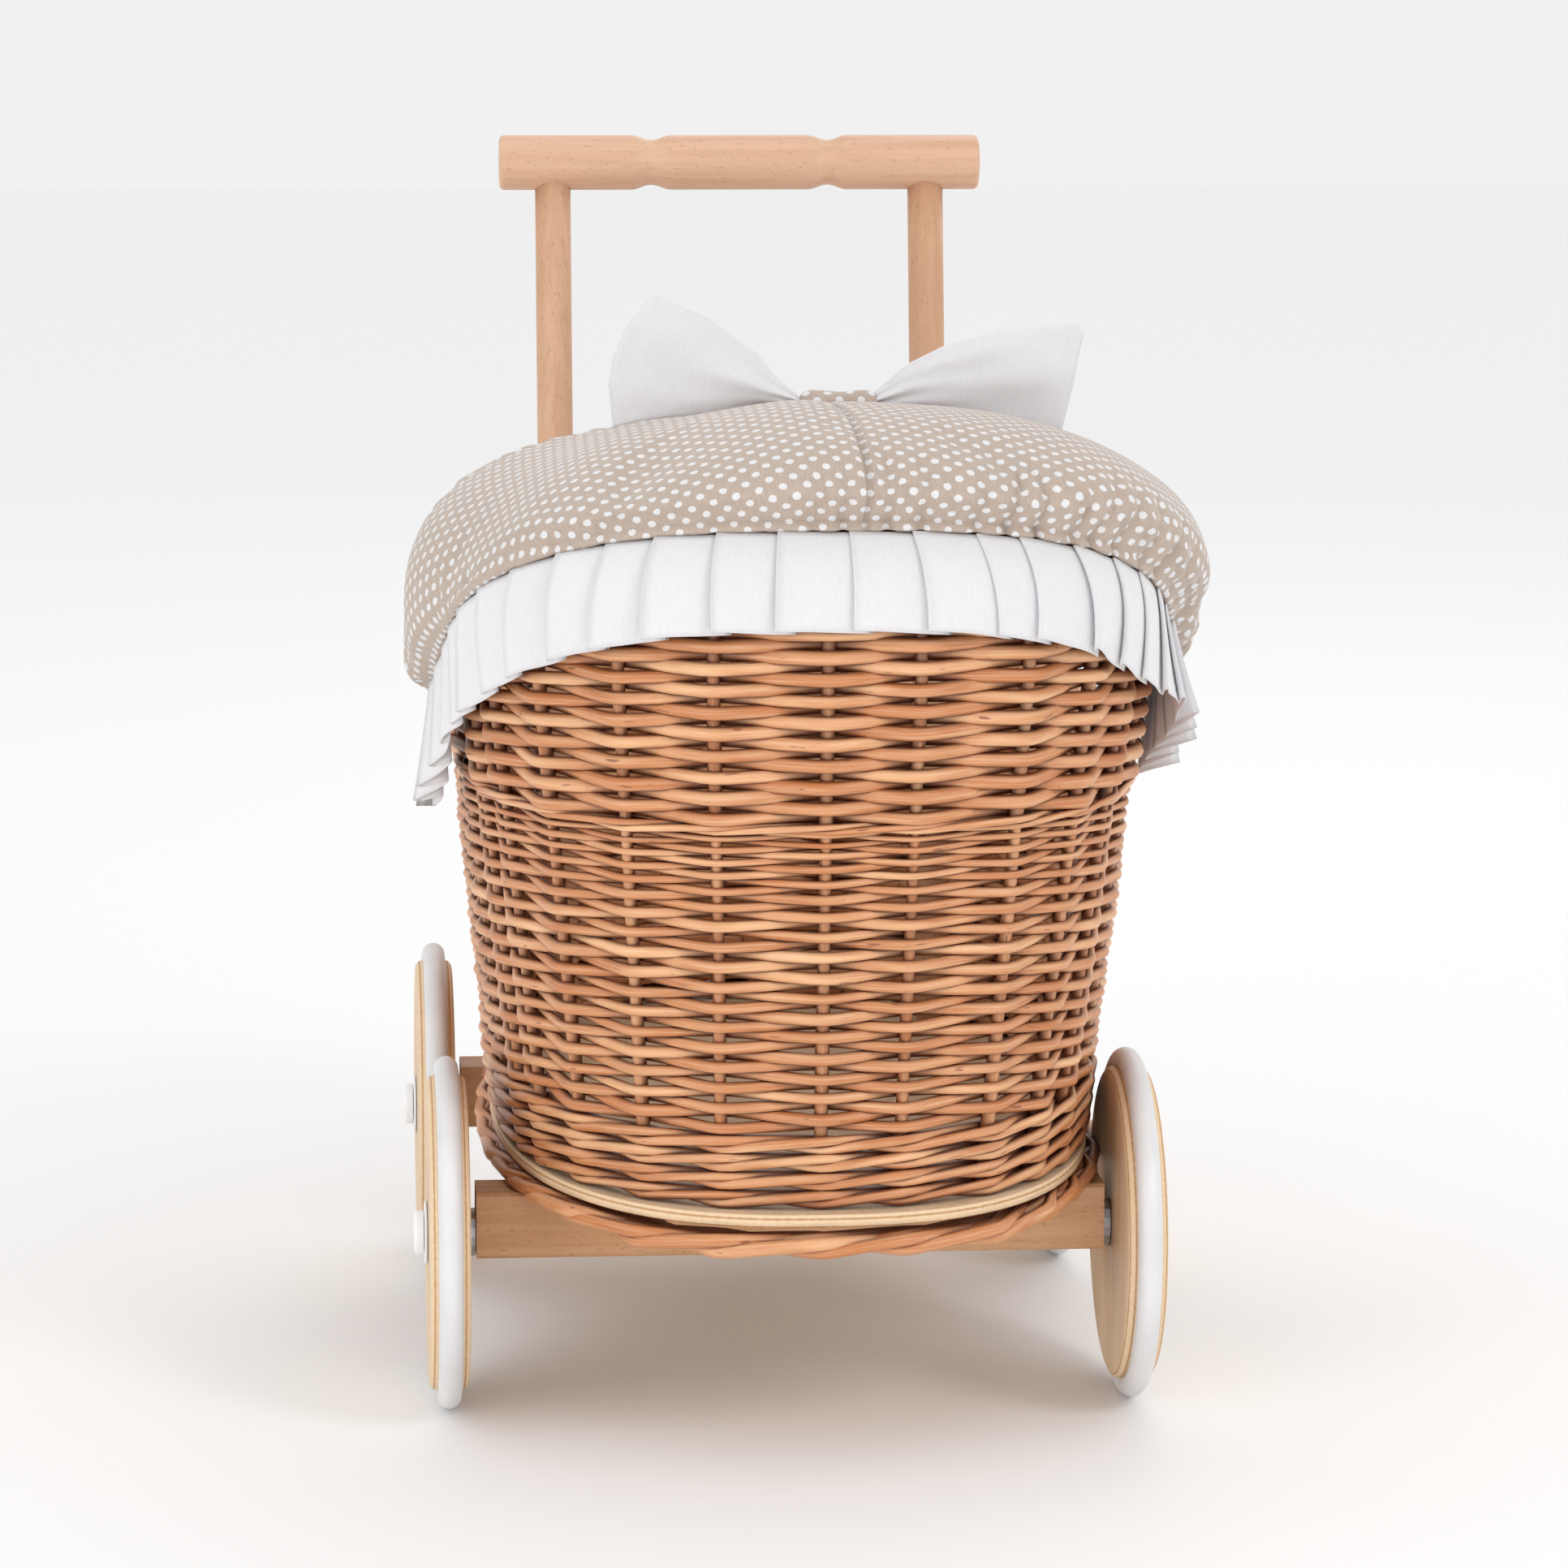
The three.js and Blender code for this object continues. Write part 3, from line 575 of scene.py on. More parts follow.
def turned(name, profile, place, side, material, slot, node, body, segments=96, closed=False):
    """A lathe piece about the X axis, from [radius, distance] pairs that run outwards for side
    +1, and mirrored for -1. An open profile starts and ends near the axis, under flat caps."""
    radius, along = np.asarray(profile, float).T[..., None]
    angle = np.linspace(0, 2 * np.pi, segments, endpoint=False)
    points = np.stack([
        side * along + 0 * angle, radius * np.cos(angle), radius * np.sin(angle)], -1)
    rings = len(profile)
    faces = grid_faces(rings, segments, True, True) if closed else tube_faces(rings, segments)
    return make_piece(name, points + np.asarray(place), faces, material, slot, node, body=body)


def arc(centre, radius, start, end, count):
    """[radius, distance] pairs on an arc, with angles in degrees from the outward radius."""
    angles = np.radians(np.linspace(start, end, count))
    return [[centre[0] + radius * math.cos(a), centre[1] + radius * math.sin(a)] for a in angles]


# ---- Basket outline ----------------------------------------------


def power_at(height):
    share = (height - BOARD_TOP) / (SHOULDER_Z - BOARD_TOP)
    return mix(FOOT_POWER, HOOD_POWER, np.clip(share, 0, 1))


def half_sizes(height, inset):
    rise = height - WALL_BOTTOM
    return (
        WALL_HALF_WIDTH + SIDE_FLARE * rise - inset,
        WALL_HALF_LENGTH + END_FLARE * rise - inset,
    )


def oval(angle, height, half_width, half_length, power):
    across = np.abs(np.cos(angle) / half_width) ** power
    along = np.abs(np.sin(angle) / half_length) ** power
    reach = (across + along) ** (-1 / power)
    x = reach * np.cos(angle)
    return np.stack([x, BASKET_Y + reach * np.sin(angle), height + 0 * x], -1)


def shell_point(angle, height, inset=0.0):
    """A point of the basket and hood's outside, or `inset` within it. Above the shoulder the
    plan shrinks towards the middle of the open arch."""
    half_width, half_length = half_sizes(height, inset)
    point = oval(angle, height, half_width, half_length, power_at(height))
    rise = np.clip((height - SHOULDER_Z) / (CROWN_Z - inset - SHOULDER_Z), 0, 0.99999)
    scale = (1 - rise**CROWN_POWER) ** (1 / CROWN_POWER)
    point[..., 0] *= scale
    point[..., 1] = HOOD_EDGE_Y + (point[..., 1] - HOOD_EDGE_Y) * np.where(rise > 0, scale, 1)
    return point


def shell_normal(angle, height, inset=0.0):
    step = 1e-3
    around = shell_point(angle + step, height, inset) - shell_point(angle - step, height, inset)
    upward = shell_point(angle, height + 0.2, inset) - shell_point(angle, height - 0.2, inset)
    return unit(np.cross(around, upward))


def hood_level(points, inset):
    height = points[..., 2]
    rise = np.maximum(0, (height - SHOULDER_Z) / (CROWN_Z - inset - SHOULDER_Z))
    scale = np.maximum(1e-6, 1 - np.minimum(rise, 1) ** CROWN_POWER) ** (1 / CROWN_POWER)
    half_width, half_length = half_sizes(height, inset)
    x = points[..., 0] / scale
    y = HOOD_EDGE_Y + (points[..., 1] - HOOD_EDGE_Y) / scale - BASKET_Y
    power = power_at(height)
    level = np.abs(x / half_width) ** power + np.abs(y / half_length) ** power
    return np.where(rise < 1, level, 9.0)


def hoop_point(sweep, tilt, pivot_z, inset):
    """A point of a hoop that hinges about a line across the arch. Sweep runs from the +X pivot
    over to the -X one, and tilt from level to the upright arch."""
    sweep, tilt, pivot_z, inset = np.broadcast_arrays(
        *(np.asarray(v, float) for v in (sweep, tilt, pivot_z, inset)))
    direction = np.stack([
        np.cos(sweep), -np.sin(sweep) * np.cos(tilt), np.sin(sweep) * np.sin(tilt)], -1)
    pivot = np.stack([0 * sweep, 0 * sweep + HOOD_EDGE_Y, pivot_z], -1)
    near = np.zeros(sweep.shape)
    far = np.full(sweep.shape, 2.0 * BOARD_HALF_LENGTH)
    for _ in range(36):
        middle = (near + far) / 2
        inside = hood_level(pivot + direction * middle[..., None], inset) < 1
        near = np.where(inside, middle, near)
        far = np.where(inside, far, middle)
    return pivot + direction * near[..., None]


def running_length(path):
    steps = np.linalg.norm(np.diff(path, axis=0), axis=1)
    return np.concatenate([[0], np.cumsum(steps)])


# ---- Willow rods -------------------------------------------------


class Rods:
    """Willow rods gathered into one mesh. A point's `rod` attribute holds how far along its rod
    it is in metres, how far around, and the rod's shade."""

    def __init__(self):
        self.points = []
        self.faces = []
        self.facts = []
        self.count = 0

    def add(self, path, normals, radius):
        """A rod along a path, with a little taper and a thickness and shade of its own."""
        radius = radius + REAR_SWELL * ease((path[:, 1] - 20) / 150)
        count = len(path)
        tangents = unit(np.gradient(path, axis=0))
        sideways = unit(np.cross(tangents, normals))
        outward = np.cross(sideways, tangents)
        along = running_length(path)
        taper = mix(1.1, 0.92, along / along[-1]) * rng.uniform(0.93, 1.07)
        uneven = 1 + 0.045 * np.sin(along / rng.uniform(9, 16) + rng.uniform(0, 6))
        reach = (radius * taper * uneven)[:, None, None]
        angle = np.linspace(0, 2 * np.pi, ROD_SIDES, endpoint=False)
        ring = (
            outward[:, None] * np.cos(angle)[None, :, None]
            + sideways[:, None] * np.sin(angle)[None, :, None])
        self.points.append((path[:, None] + reach * ring).reshape(-1, 3))
        facts = np.empty((count, ROD_SIDES, 3))
        facts[..., 0] = (along * MM)[:, None] + rng.uniform(0, 50)
        facts[..., 1] = np.abs(angle / np.pi - 1)[None]
        facts[..., 2] = rng.uniform(0, 1)
        self.facts.append(facts.reshape(-1, 3))
        faces = grid_faces(count, ROD_SIDES, wrap_columns=True)
        half = ROD_SIDES // 2 - 1
        cap = np.array([
            [i, i + 1, ROD_SIDES - 2 - i, ROD_SIDES - 1 - i] for i in range(half)])
        last = (count - 1) * ROD_SIDES
        self.faces += [faces + self.count, cap + self.count, cap[:, ::-1] + self.count + last]
        self.count += count * ROD_SIDES

    def make(self, name, *nodes):
        points, faces = (np.concatenate(parts) for parts in (self.points, self.faces))
        piece = make_piece(name, points, faces, WILLOW, "willow", *nodes)
        point_attribute(piece, "rod", np.concatenate(self.facts))


def zigzag(anchors):
    """A path that runs straight from anchor to anchor, with its bends eased."""
    spans = [mix(anchors[:-1], anchors[1:], share) for share in SPAN_SHARES]
    path = np.stack(spans, 1).reshape(-1, 3)
    path = np.vstack([path, anchors[-1:]])
    bends = np.arange(len(SPAN_SHARES), len(path) - 1, len(SPAN_SHARES))
    eased = 0.5 * path[bends] + 0.25 * (path[bends - 1] + path[bends + 1])
    path[bends] = eased
    return path


def stake_angles():
    """Angles of all the stakes: those of the hood end are set, the others stand evenly."""
    front = np.radians(FRONT_STAKES)
    angle = np.linspace(front[-1], front[0] + 2 * np.pi, 2000)
    length = running_length(shell_point(angle, 200.0))
    even = np.linspace(0, length[-1], OTHER_STAKES + 2)[1:-1]
    return np.concatenate([front, np.interp(even, length, angle)])


STAKES = stake_angles()


def rod_ends(path):
    """The same path with its ends run on a little, inside the basket, where rods are joined."""
    inward = np.array([0, BASKET_Y, 0]) - path[[0, -1]]
    inward[:, 2] = 0
    inward = unit(inward)
    start = path[0] + 6 * unit(path[0] - path[1]) + 1.5 * inward[0]
    end = path[-1] + 6 * unit(path[-1] - path[-2]) + 1.5 * inward[1]
    return np.vstack([start, path, end])


def add_ring(rods, anchors, behind, radius, joints):
    """A ring of rods through closed anchors, joined at a few of those that are behind."""
    choices = np.flatnonzero(behind)
    chosen = np.sort(rng.choice(choices, joints, replace=False))
    for here, following in zip(chosen, np.roll(chosen, -1)):
        size = (following - here) % len(anchors) or len(anchors)
        order = (here + np.arange(size + 1)) % len(anchors)
        path = rod_ends(zigzag(anchors[order]))
        rods.add(path, np.broadcast_to((0, 0, 1.0), path.shape), radius)


def add_plain_rows(rods):
    """Plain weave: each row passes in front of every other stake."""
    height = PLAIN_BOTTOM
    index = 0
    while height < PLAIN_TOP:
        thin = ease((height - THINNING_Z) / (PLAIN_TOP - THINNING_Z))
        radius = mix(THICK_ROD_RADIUS, THIN_ROD_RADIUS, thin)
        side = np.where((np.arange(len(STAKES)) + index) % 2, -1, 1)
        level = height + rng.normal(0, 0.36, len(STAKES)).clip(-0.55, 0.55)
        reach = side * (STAKE_RADIUS + radius - ROD_SQUEEZE) + rng.normal(0, 0.2, len(STAKES))
        base = shell_point(STAKES, level, WALL_MIDDLE)
        anchors = base + shell_normal(STAKES, level) * reach[:, None]
        add_ring(rods, anchors, side < 0, radius, 2)
        height += mix(THICK_PITCH, THIN_PITCH, thin)
        index += 1


def add_wale(rods, height, radius, tall, shift, outline=shell_point, inset=WALL_MIDDLE):
    """Three rods that pass in turn in front of two stakes and behind one."""
    for strand in range(3):
        phase = (np.arange(len(STAKES)) + strand + shift) % 3
        level = height + tall * np.choose(phase, [-0.26, 0.26, 0.0])
        reach = (STAKE_RADIUS + radius) * np.choose(phase, [0.85, 1.1, -0.8])
        level = level + rng.normal(0, 0.25, len(STAKES))
        base = outline(STAKES, level, inset)
        anchors = base + shell_normal(STAKES, 120.0) * reach[:, None]
        add_ring(rods, anchors, phase == 2, radius, 2)


def make_wall():
    rows = Rods()
    add_plain_rows(rows)
    rows.make("wall_rods", "basket_wall")

    wales = Rods()
    for index, level in enumerate(WALE_LEVELS):
        add_wale(wales, level, WALE_ROD_RADIUS, WALE_HEIGHT, index)
    add_wale(wales, TOP_WALE_Z, TOP_WALE_ROD_RADIUS, TOP_WALE_HEIGHT, 1)
    wales.make("wall_wales")

    stakes = Rods()
    heights = np.linspace(STAKE_BOTTOM, STAKE_TOP, 26)
    for angle in STAKES:
        sway = rng.normal(0, 0.3, 2)
        angles = np.full(len(heights), angle)
        path = shell_point(angles, heights, WALL_MIDDLE)
        path[:, :2] += sway * np.sin((heights - STAKE_BOTTOM) / 28)[:, None]
        stakes.add(path, shell_normal(angles, heights), STAKE_RADIUS)
    stakes.make("wall_stakes")


def board_oval(angle, height, inset):
    return oval(
        angle, height, BOARD_HALF_WIDTH - inset, BOARD_HALF_LENGTH - inset, FOOT_POWER)


def foot_oval(angle, height, inset):
    """The foot border's line: it hangs lower in front of the front crossbar."""
    point = board_oval(angle, height, inset)
    hang = ease((-150 - point[..., 1]) / 60)
    point[..., 2] = BOARD_BOTTOM - (BOARD_BOTTOM - point[..., 2]) * (1 + 0.75 * hang)
    return point


def make_foot_border():
    rods = Rods()
    for shift, inset in ((2, 2.0), (0, 8.5)):
        add_wale(rods, FOOT_WALE_Z, FOOT_ROD_RADIUS, FOOT_WALE_HEIGHT, shift, foot_oval, inset)
    rods.make("foot_border_rods", "foot_border")


def rope(rods, path, outward):
    """Strands that twist about a path."""
    along = running_length(path)
    even = np.linspace(0, along[-1], int(along[-1] / 3.5))
    middle, normal = (
        np.stack([np.interp(even, along, values[:, axis]) for axis in range(3)], -1)
        for values in (path, outward))
    sideways = unit(np.cross(unit(np.gradient(middle, axis=0)), normal))
    normal = np.cross(sideways, unit(np.gradient(middle, axis=0)))
    for strand in range(ROPE_STRANDS):
        sway = 0.15 * np.sin(even / 31 + strand)
        turn = (2 * np.pi * (even / STRAND_PITCH + strand / ROPE_STRANDS) + sway)[:, None]
        offset = normal * np.cos(turn) + sideways * np.sin(turn)
        rods.add(middle + ROPE_REACH * offset, normal, ROPE_ROD_RADIUS)


def make_borders():
    rim = Rods()
    angle = np.linspace(-0.36, np.pi + 0.36, 200)
    path = oval(angle, RIM_Z, *half_sizes(WALL_TOP, WALL_MIDDLE), power_at(WALL_TOP))
    rope(rim, path, shell_normal(angle, 280.0))
    rim.make("rim_border_rods", "rim_border")

    arch = Rods()
    sweep = np.linspace(END_SWEEP, np.pi - END_SWEEP, 200)
    path = hoop_point(sweep, np.pi / 2, HOOD_BOTTOM, WALL_MIDDLE)
    path[:, 1] += BORDER_RADIUS + 0.6
    outward = path - np.array([0, path[0, 1], 300])
    rope(arch, path, outward)
    arch.make("hood_border_rods", "hood_border")


def arch_angle(height):
    """The plan angle, on the +X side, at which the shell meets the plane of the arch."""
    low, high = -np.pi / 2, 0.0
    for _ in range(40):
        middle = (low + high) / 2
        y = oval(middle, height, *half_sizes(height, WALL_MIDDLE), power_at(height))[1]
        low, high = (middle, high) if y < HOOD_EDGE_Y else (low, middle)
    return low + 2 * np.pi


def hood_levels():
    """Heights of the hood's rows, evenly spaced along its middle."""
    top_share = np.linspace(0.001, 1, 900) ** 0.5
    height = np.concatenate([
        np.linspace(HOOD_FIRST_ROW, SHOULDER_Z, 200),
        mix(SHOULDER_Z, CROWN_Z - WALL_MIDDLE, top_share)])
    path = shell_point(np.full(len(height), 1.5 * np.pi), height, WALL_MIDDLE)
    length = running_length(path)
    rows = np.arange(0, length[-1] - 12, HOOD_PITCH)
    return np.interp(rows, length, height)


def make_hood():
    front = [a for a in STAKES if np.radians(204) < a < np.radians(336)]
    rows = Rods()
    for index, height in enumerate(hood_levels()):
        edge = arch_angle(height)
        held = front if height < THINNED_Z else front[::2]
        angles = np.array([edge, *sorted(held, reverse=True), 3 * np.pi - edge])
        side = np.where((np.arange(len(angles)) + index) % 2, -1, 1)
        reach = side * (STAKE_RADIUS + HOOD_ROD_RADIUS - ROD_SQUEEZE)
        level = height + rng.normal(0, 0.2, len(angles)) * (height < SHOULDER_Z)
        base = shell_point(angles, level, WALL_MIDDLE)
        anchors = base + shell_normal(angles, level, WALL_MIDDLE) * reach[:, None]
        path = zigzag(anchors)
        normals = np.broadcast_to((0, 0, 1.0), path.shape)
        rows.add(path, normals, HOOD_ROD_RADIUS * rng.uniform(0.95, 1.05))
    rows.make("hood_rods", "hood_weave")

    stakes = Rods()
    for index, angle in enumerate([*front, arch_angle(300.0), 3 * np.pi - arch_angle(300.0)]):
        top = 0.3 if index % 2 else 0.08
        scale = np.linspace(1, top, 40)[1:]
        rise = (1 - scale**CROWN_POWER) ** (1 / CROWN_POWER)
        height = np.concatenate([
            np.linspace(HOOD_STAKE_BOTTOM, SHOULDER_Z, 12),
            mix(SHOULDER_Z, CROWN_Z - WALL_MIDDLE, rise)])
        angles = np.full(len(height), angle)
        path = shell_point(angles, height, WALL_MIDDLE)
        stakes.add(path, shell_normal(angles, height, WALL_MIDDLE), STAKE_RADIUS)
    stakes.make("hood_stakes")


# ---- Cover, ruffle and bow ---------------------------------------


def ripples(position, wavelengths, seed):
    """Uneven waves along a position in millimetres, about -1 to 1."""
    chance = np.random.default_rng(seed)
    total = 0
    for wavelength in wavelengths:
        phase = chance.uniform(0, 2 * np.pi)
        sway = 1.3 * np.sin(position / wavelength / 2.7 + chance.uniform(0, 6))
        total = total + np.sin(2 * np.pi * position / wavelength + phase + sway)
    return total / len(wavelengths)


def cover_padding(step, sweep):
    """Padding over the willow: thickest near the front, thin along the edges."""
    knot = np.clip(np.searchsorted(PUFF_SWEEPS, sweep) - 1, 0, len(PUFFS) - 2)
    sweeps = np.array(PUFF_SWEEPS)
    puffs = np.array(PUFFS, float)
    share = ease((sweep - sweeps[knot]) / (sweeps[knot + 1] - sweeps[knot]))
    puff = mix(puffs[knot], puffs[knot + 1], share)
    return mix(COVER_EDGE, puff, np.sin(np.pi * np.clip(step, 0, 1) ** 0.48) ** 0.6)


def turned_under(sweep, tilt, toward, padding):
    """Rows that turn the cover's cloth under at an edge, from its outside to its inside."""
    turn = np.linspace(0, np.pi, 8)[1:-1, None]
    lift = mix(COVER_CLEARANCE, padding, (1 + np.cos(turn)) / 2)
    return hoop_point(sweep, tilt + toward * np.sin(turn), SEAM_PIVOT_Z, -lift)


def make_cover():
    """The padded cover, as one closed grid: its outside, the edge turned under at the arch,
    its inside, and the edge turned under at the seam. Gives its points, in millimetres."""
    sweep = np.linspace(END_SWEEP, np.pi - END_SWEEP, COVER_COLUMNS)[None, :]
    step = np.linspace(0, 1, COVER_ROWS)[:, None]
    low_tilt = SEAM_TILT + 0.02
    position = running_length(hoop_point(sweep[0], SEAM_TILT + 0.1, SEAM_PIVOT_Z, 0))
    position = (position - np.interp(np.pi / 2, sweep[0], position))[None, :]
    seam_gap = np.abs(position + SEAM_X)
    right_side = ease((40 - position) / 120)
    near_seam = np.exp(-step / 0.13)
    near_arch = np.exp(-(1 - step) / 0.1)
    folds = ripples(position * 0.8 + 60 * step, (64, 90, 120), 5)
    depth = 0.7 * near_arch * ripples(position, (13, 17, 23), 9) + 0.6 * folds * right_side
    depth = depth - 0.9 * np.exp(-seam_gap / 9)
    ends = ease(np.minimum(sweep - END_SWEEP, np.pi - END_SWEEP - sweep) / 0.13)
    padding = (cover_padding(step, sweep) + depth) * ends + (1 - ends) * (COVER_CLEARANCE + 1)

    outer = hoop_point(sweep, mix(low_tilt, np.pi / 2, step), SEAM_PIVOT_Z, -padding)
    over_arch = turned_under(sweep, np.pi / 2, 0.02, padding[-1:])
    inner_tilt = mix(low_tilt, np.pi / 2, np.linspace(1, 0, 10)[:, None])
    inner = hoop_point(sweep, inner_tilt, SEAM_PIVOT_Z, -COVER_CLEARANCE)
    under_seam = turned_under(sweep, low_tilt, -0.025, padding[:1])[::-1]
    loop = np.concatenate([under_seam, outer, over_arch, inner])
    rows, columns = loop.shape[:2]
    ring = np.arange(rows) * columns
    faces = [*grid_faces(rows, columns, wrap_rows=True).tolist(), ring.tolist()]
    faces.append((ring[::-1] + columns - 1).tolist())
    cover = make_piece("hood_cover_cloth", loop, faces, DOTTED, "dotted_cotton", "hood_cover")

    seam_column = int(np.argmin(seam_gap))
    first = len(under_seam)
    last = first + COVER_ROWS - 1
    pinned = np.ones((rows, columns))
    pinned[first + 1:last, 2:-2] = 0
    pinned[:, seam_column] = 1
    looseness = np.zeros((rows, columns))
    spare = (near_seam + 0.3 * near_arch) * mix(0.3, 1, right_side)
    looseness[first:last + 1] = np.clip(spare, 0, 1)
    settle(cover, pinned.ravel(), looseness.ravel())
    climb = step * running_length(outer[:, COVER_COLUMNS // 2])[-1]
    dents = np.zeros((rows, columns))
    seam_dent = 1.2 * np.exp(-((seam_gap / 2.2) ** 2))
    dents[first:last + 1] = pucker_depths(position, climb) + seam_dent
    dents[:first] = dents[first] * np.linspace(0, 1, first)[:, None]
    normals = mesh_normals(cover.data)
    set_points(cover.data, mesh_points(cover.data) - normals * dents.reshape(-1, 1) * MM)

    row_of, column_of = np.divmod(np.arange(rows * (columns - 1)), columns - 1)
    shown = row_of < last + len(over_arch)
    panels = np.where(shown, np.where(column_of < seam_column, 0, 1), 2)
    from_seam = np.broadcast_to(seam_gap * MM, (rows, columns)).ravel()
    lay_flat(cover, np.append(panels, (2, 2)), ring[first] + seam_column,
             ring[last] + seam_column, from_seam)
    return mesh_points(cover.data) / MM


def pucker_depths(position, climb):
    """Short creases where the cover is gathered into its lower seam, most of them on the +X
    side of the middle: how deep the cloth is pressed in, at a place along and above the seam."""
    chance = np.random.default_rng(17)
    total = 0
    at = -230.0
    while at < 230:
        strength = mix(0.3, 1, ease((45 - at) / 80)) * chance.uniform(0.45, 1)
        length = mix(14, 34, strength) * chance.uniform(0.7, 1.2)
        lean = chance.uniform(-0.25, 0.25)
        width = chance.uniform(1.5, 2.5)
        across = np.exp(-(((position - at - lean * climb) / width) ** 2))
        total = total + PUCKER_DEPTH * strength * across * np.exp(-((climb / length) ** 2))
        at += mix(24, 11, strength) * chance.uniform(0.7, 1.3)
    return total


def lay_flat(piece, panels, base, tip, from_seam):
    """Gives each panel of a piece its flat cutting pattern, in metres, as the `cloth`
    attribute, with each point's distance from the seam as the third number. The line from
    the base point to the tip point runs up the pattern."""
    mesh = piece.data
    shape = bmesh.new()
    shape.from_mesh(mesh)
    for edge in shape.edges:
        edge.seam = len({panels[face.index] for face in edge.link_faces}) > 1
    shape.to_mesh(mesh)
    shape.free()
    mesh.uv_layers.new(name="pattern")
    bpy.context.view_layer.objects.active = piece
    piece.select_set(True)
    bpy.ops.object.mode_set(mode="EDIT")
    bpy.ops.mesh.select_all(action="SELECT")
    bpy.ops.uv.unwrap(method="MINIMUM_STRETCH", iterations=12, margin=0.001)
    bpy.ops.object.mode_set(mode="OBJECT")
    piece.select_set(False)

    pattern = mesh.uv_layers["pattern"]
    corners = numbers(pattern.uv, "vector", 2)
    owner = numbers(mesh.loops, "vertex_index", kind=np.int32)
    sizes = numbers(mesh.polygons, "loop_total", kind=np.int32)
    areas = numbers(mesh.polygons, "area")
    starts = np.cumsum(sizes) - sizes
    following = np.arange(len(owner)) + 1
    following[starts + sizes - 1] = starts
    cross = corners[:, 0] * corners[following, 1] - corners[:, 1] * corners[following, 0]
    flat_areas = np.abs(np.add.reduceat(cross, starts)) / 2
    for panel in np.unique(panels):
        mine = np.repeat(panels, sizes) == panel
        corners[mine] *= math.sqrt(areas[panels == panel].sum() / flat_areas[panels == panel].sum())
        ends = [np.flatnonzero(mine & (owner == point)) for point in (base, tip)]
        if all(len(end) for end in ends):
            start, end = (corners[found[0]] for found in ends)
            lean = math.atan2(end[0] - start[0], end[1] - start[1])
            turn = np.array([[math.cos(lean), math.sin(lean)], [-math.sin(lean), math.cos(lean)]])
            corners[mine] = (corners[mine] - start) @ turn
    mesh.uv_layers.remove(pattern)
    layer = mesh.attributes.new("cloth", "FLOAT_VECTOR", "CORNER")
    values = np.column_stack([corners, from_seam[owner]])
    layer.data.foreach_set("vector", values.astype(np.float32).ravel())


def numbers(items, name, width=1, kind=np.float32):
    """One property of all the items of a mesh."""
    values = np.empty(len(items) * width, kind)
    items.foreach_get(name, values)
    if kind is np.float32:
        values = values.astype(float)
    return values.reshape(-1, width) if width > 1 else values


def mesh_points(mesh):
    return numbers(mesh.vertices, "co", 3)


def mesh_normals(mesh):
    return numbers(mesh.vertex_normals, "vector", 3)


def set_points(mesh, points):
    mesh.vertices.foreach_set("co", points.astype(np.float32).ravel())
    mesh.update()


def settle(piece, pinned, looseness):
    """Cloth simulation: the padding presses the cloth out, and where it is loose it has
    spare length, so it puckers at the seams that hold it. A point keeps only its movement in
    or out, which leaves the print straight, and no point moves further than a cap."""
    mesh = piece.data
    before = mesh_points(mesh)
    normals = mesh_normals(mesh)
    for name, weights in (("pinned", pinned), ("taut", 1 - looseness)):
        group = piece.vertex_groups.new(name=name)
        for index, weight in enumerate(weights):
            group.add([index], float(weight), "REPLACE")
    cloth = piece.modifiers.new("cloth", "CLOTH")
    for name, value in CLOTH.items():
        setattr(cloth.settings, name, value)
    cloth.settings.effector_weights.gravity = 0
    for number in range(1, CLOTH_FRAMES + 1):
        bpy.context.scene.frame_set(number)
    graph = bpy.context.evaluated_depsgraph_get()
    after = mesh_points(piece.evaluated_get(graph).to_mesh())
    piece.evaluated_get(graph).to_mesh_clear()
    piece.modifiers.remove(cloth)
    piece.vertex_groups.clear()
    bpy.context.scene.frame_set(1)
    move = ((after - before) * normals).sum(1, keepdims=True)
    set_points(mesh, before + np.clip(move, -CLOTH_CAP * MM, CLOTH_CAP * MM) * normals)


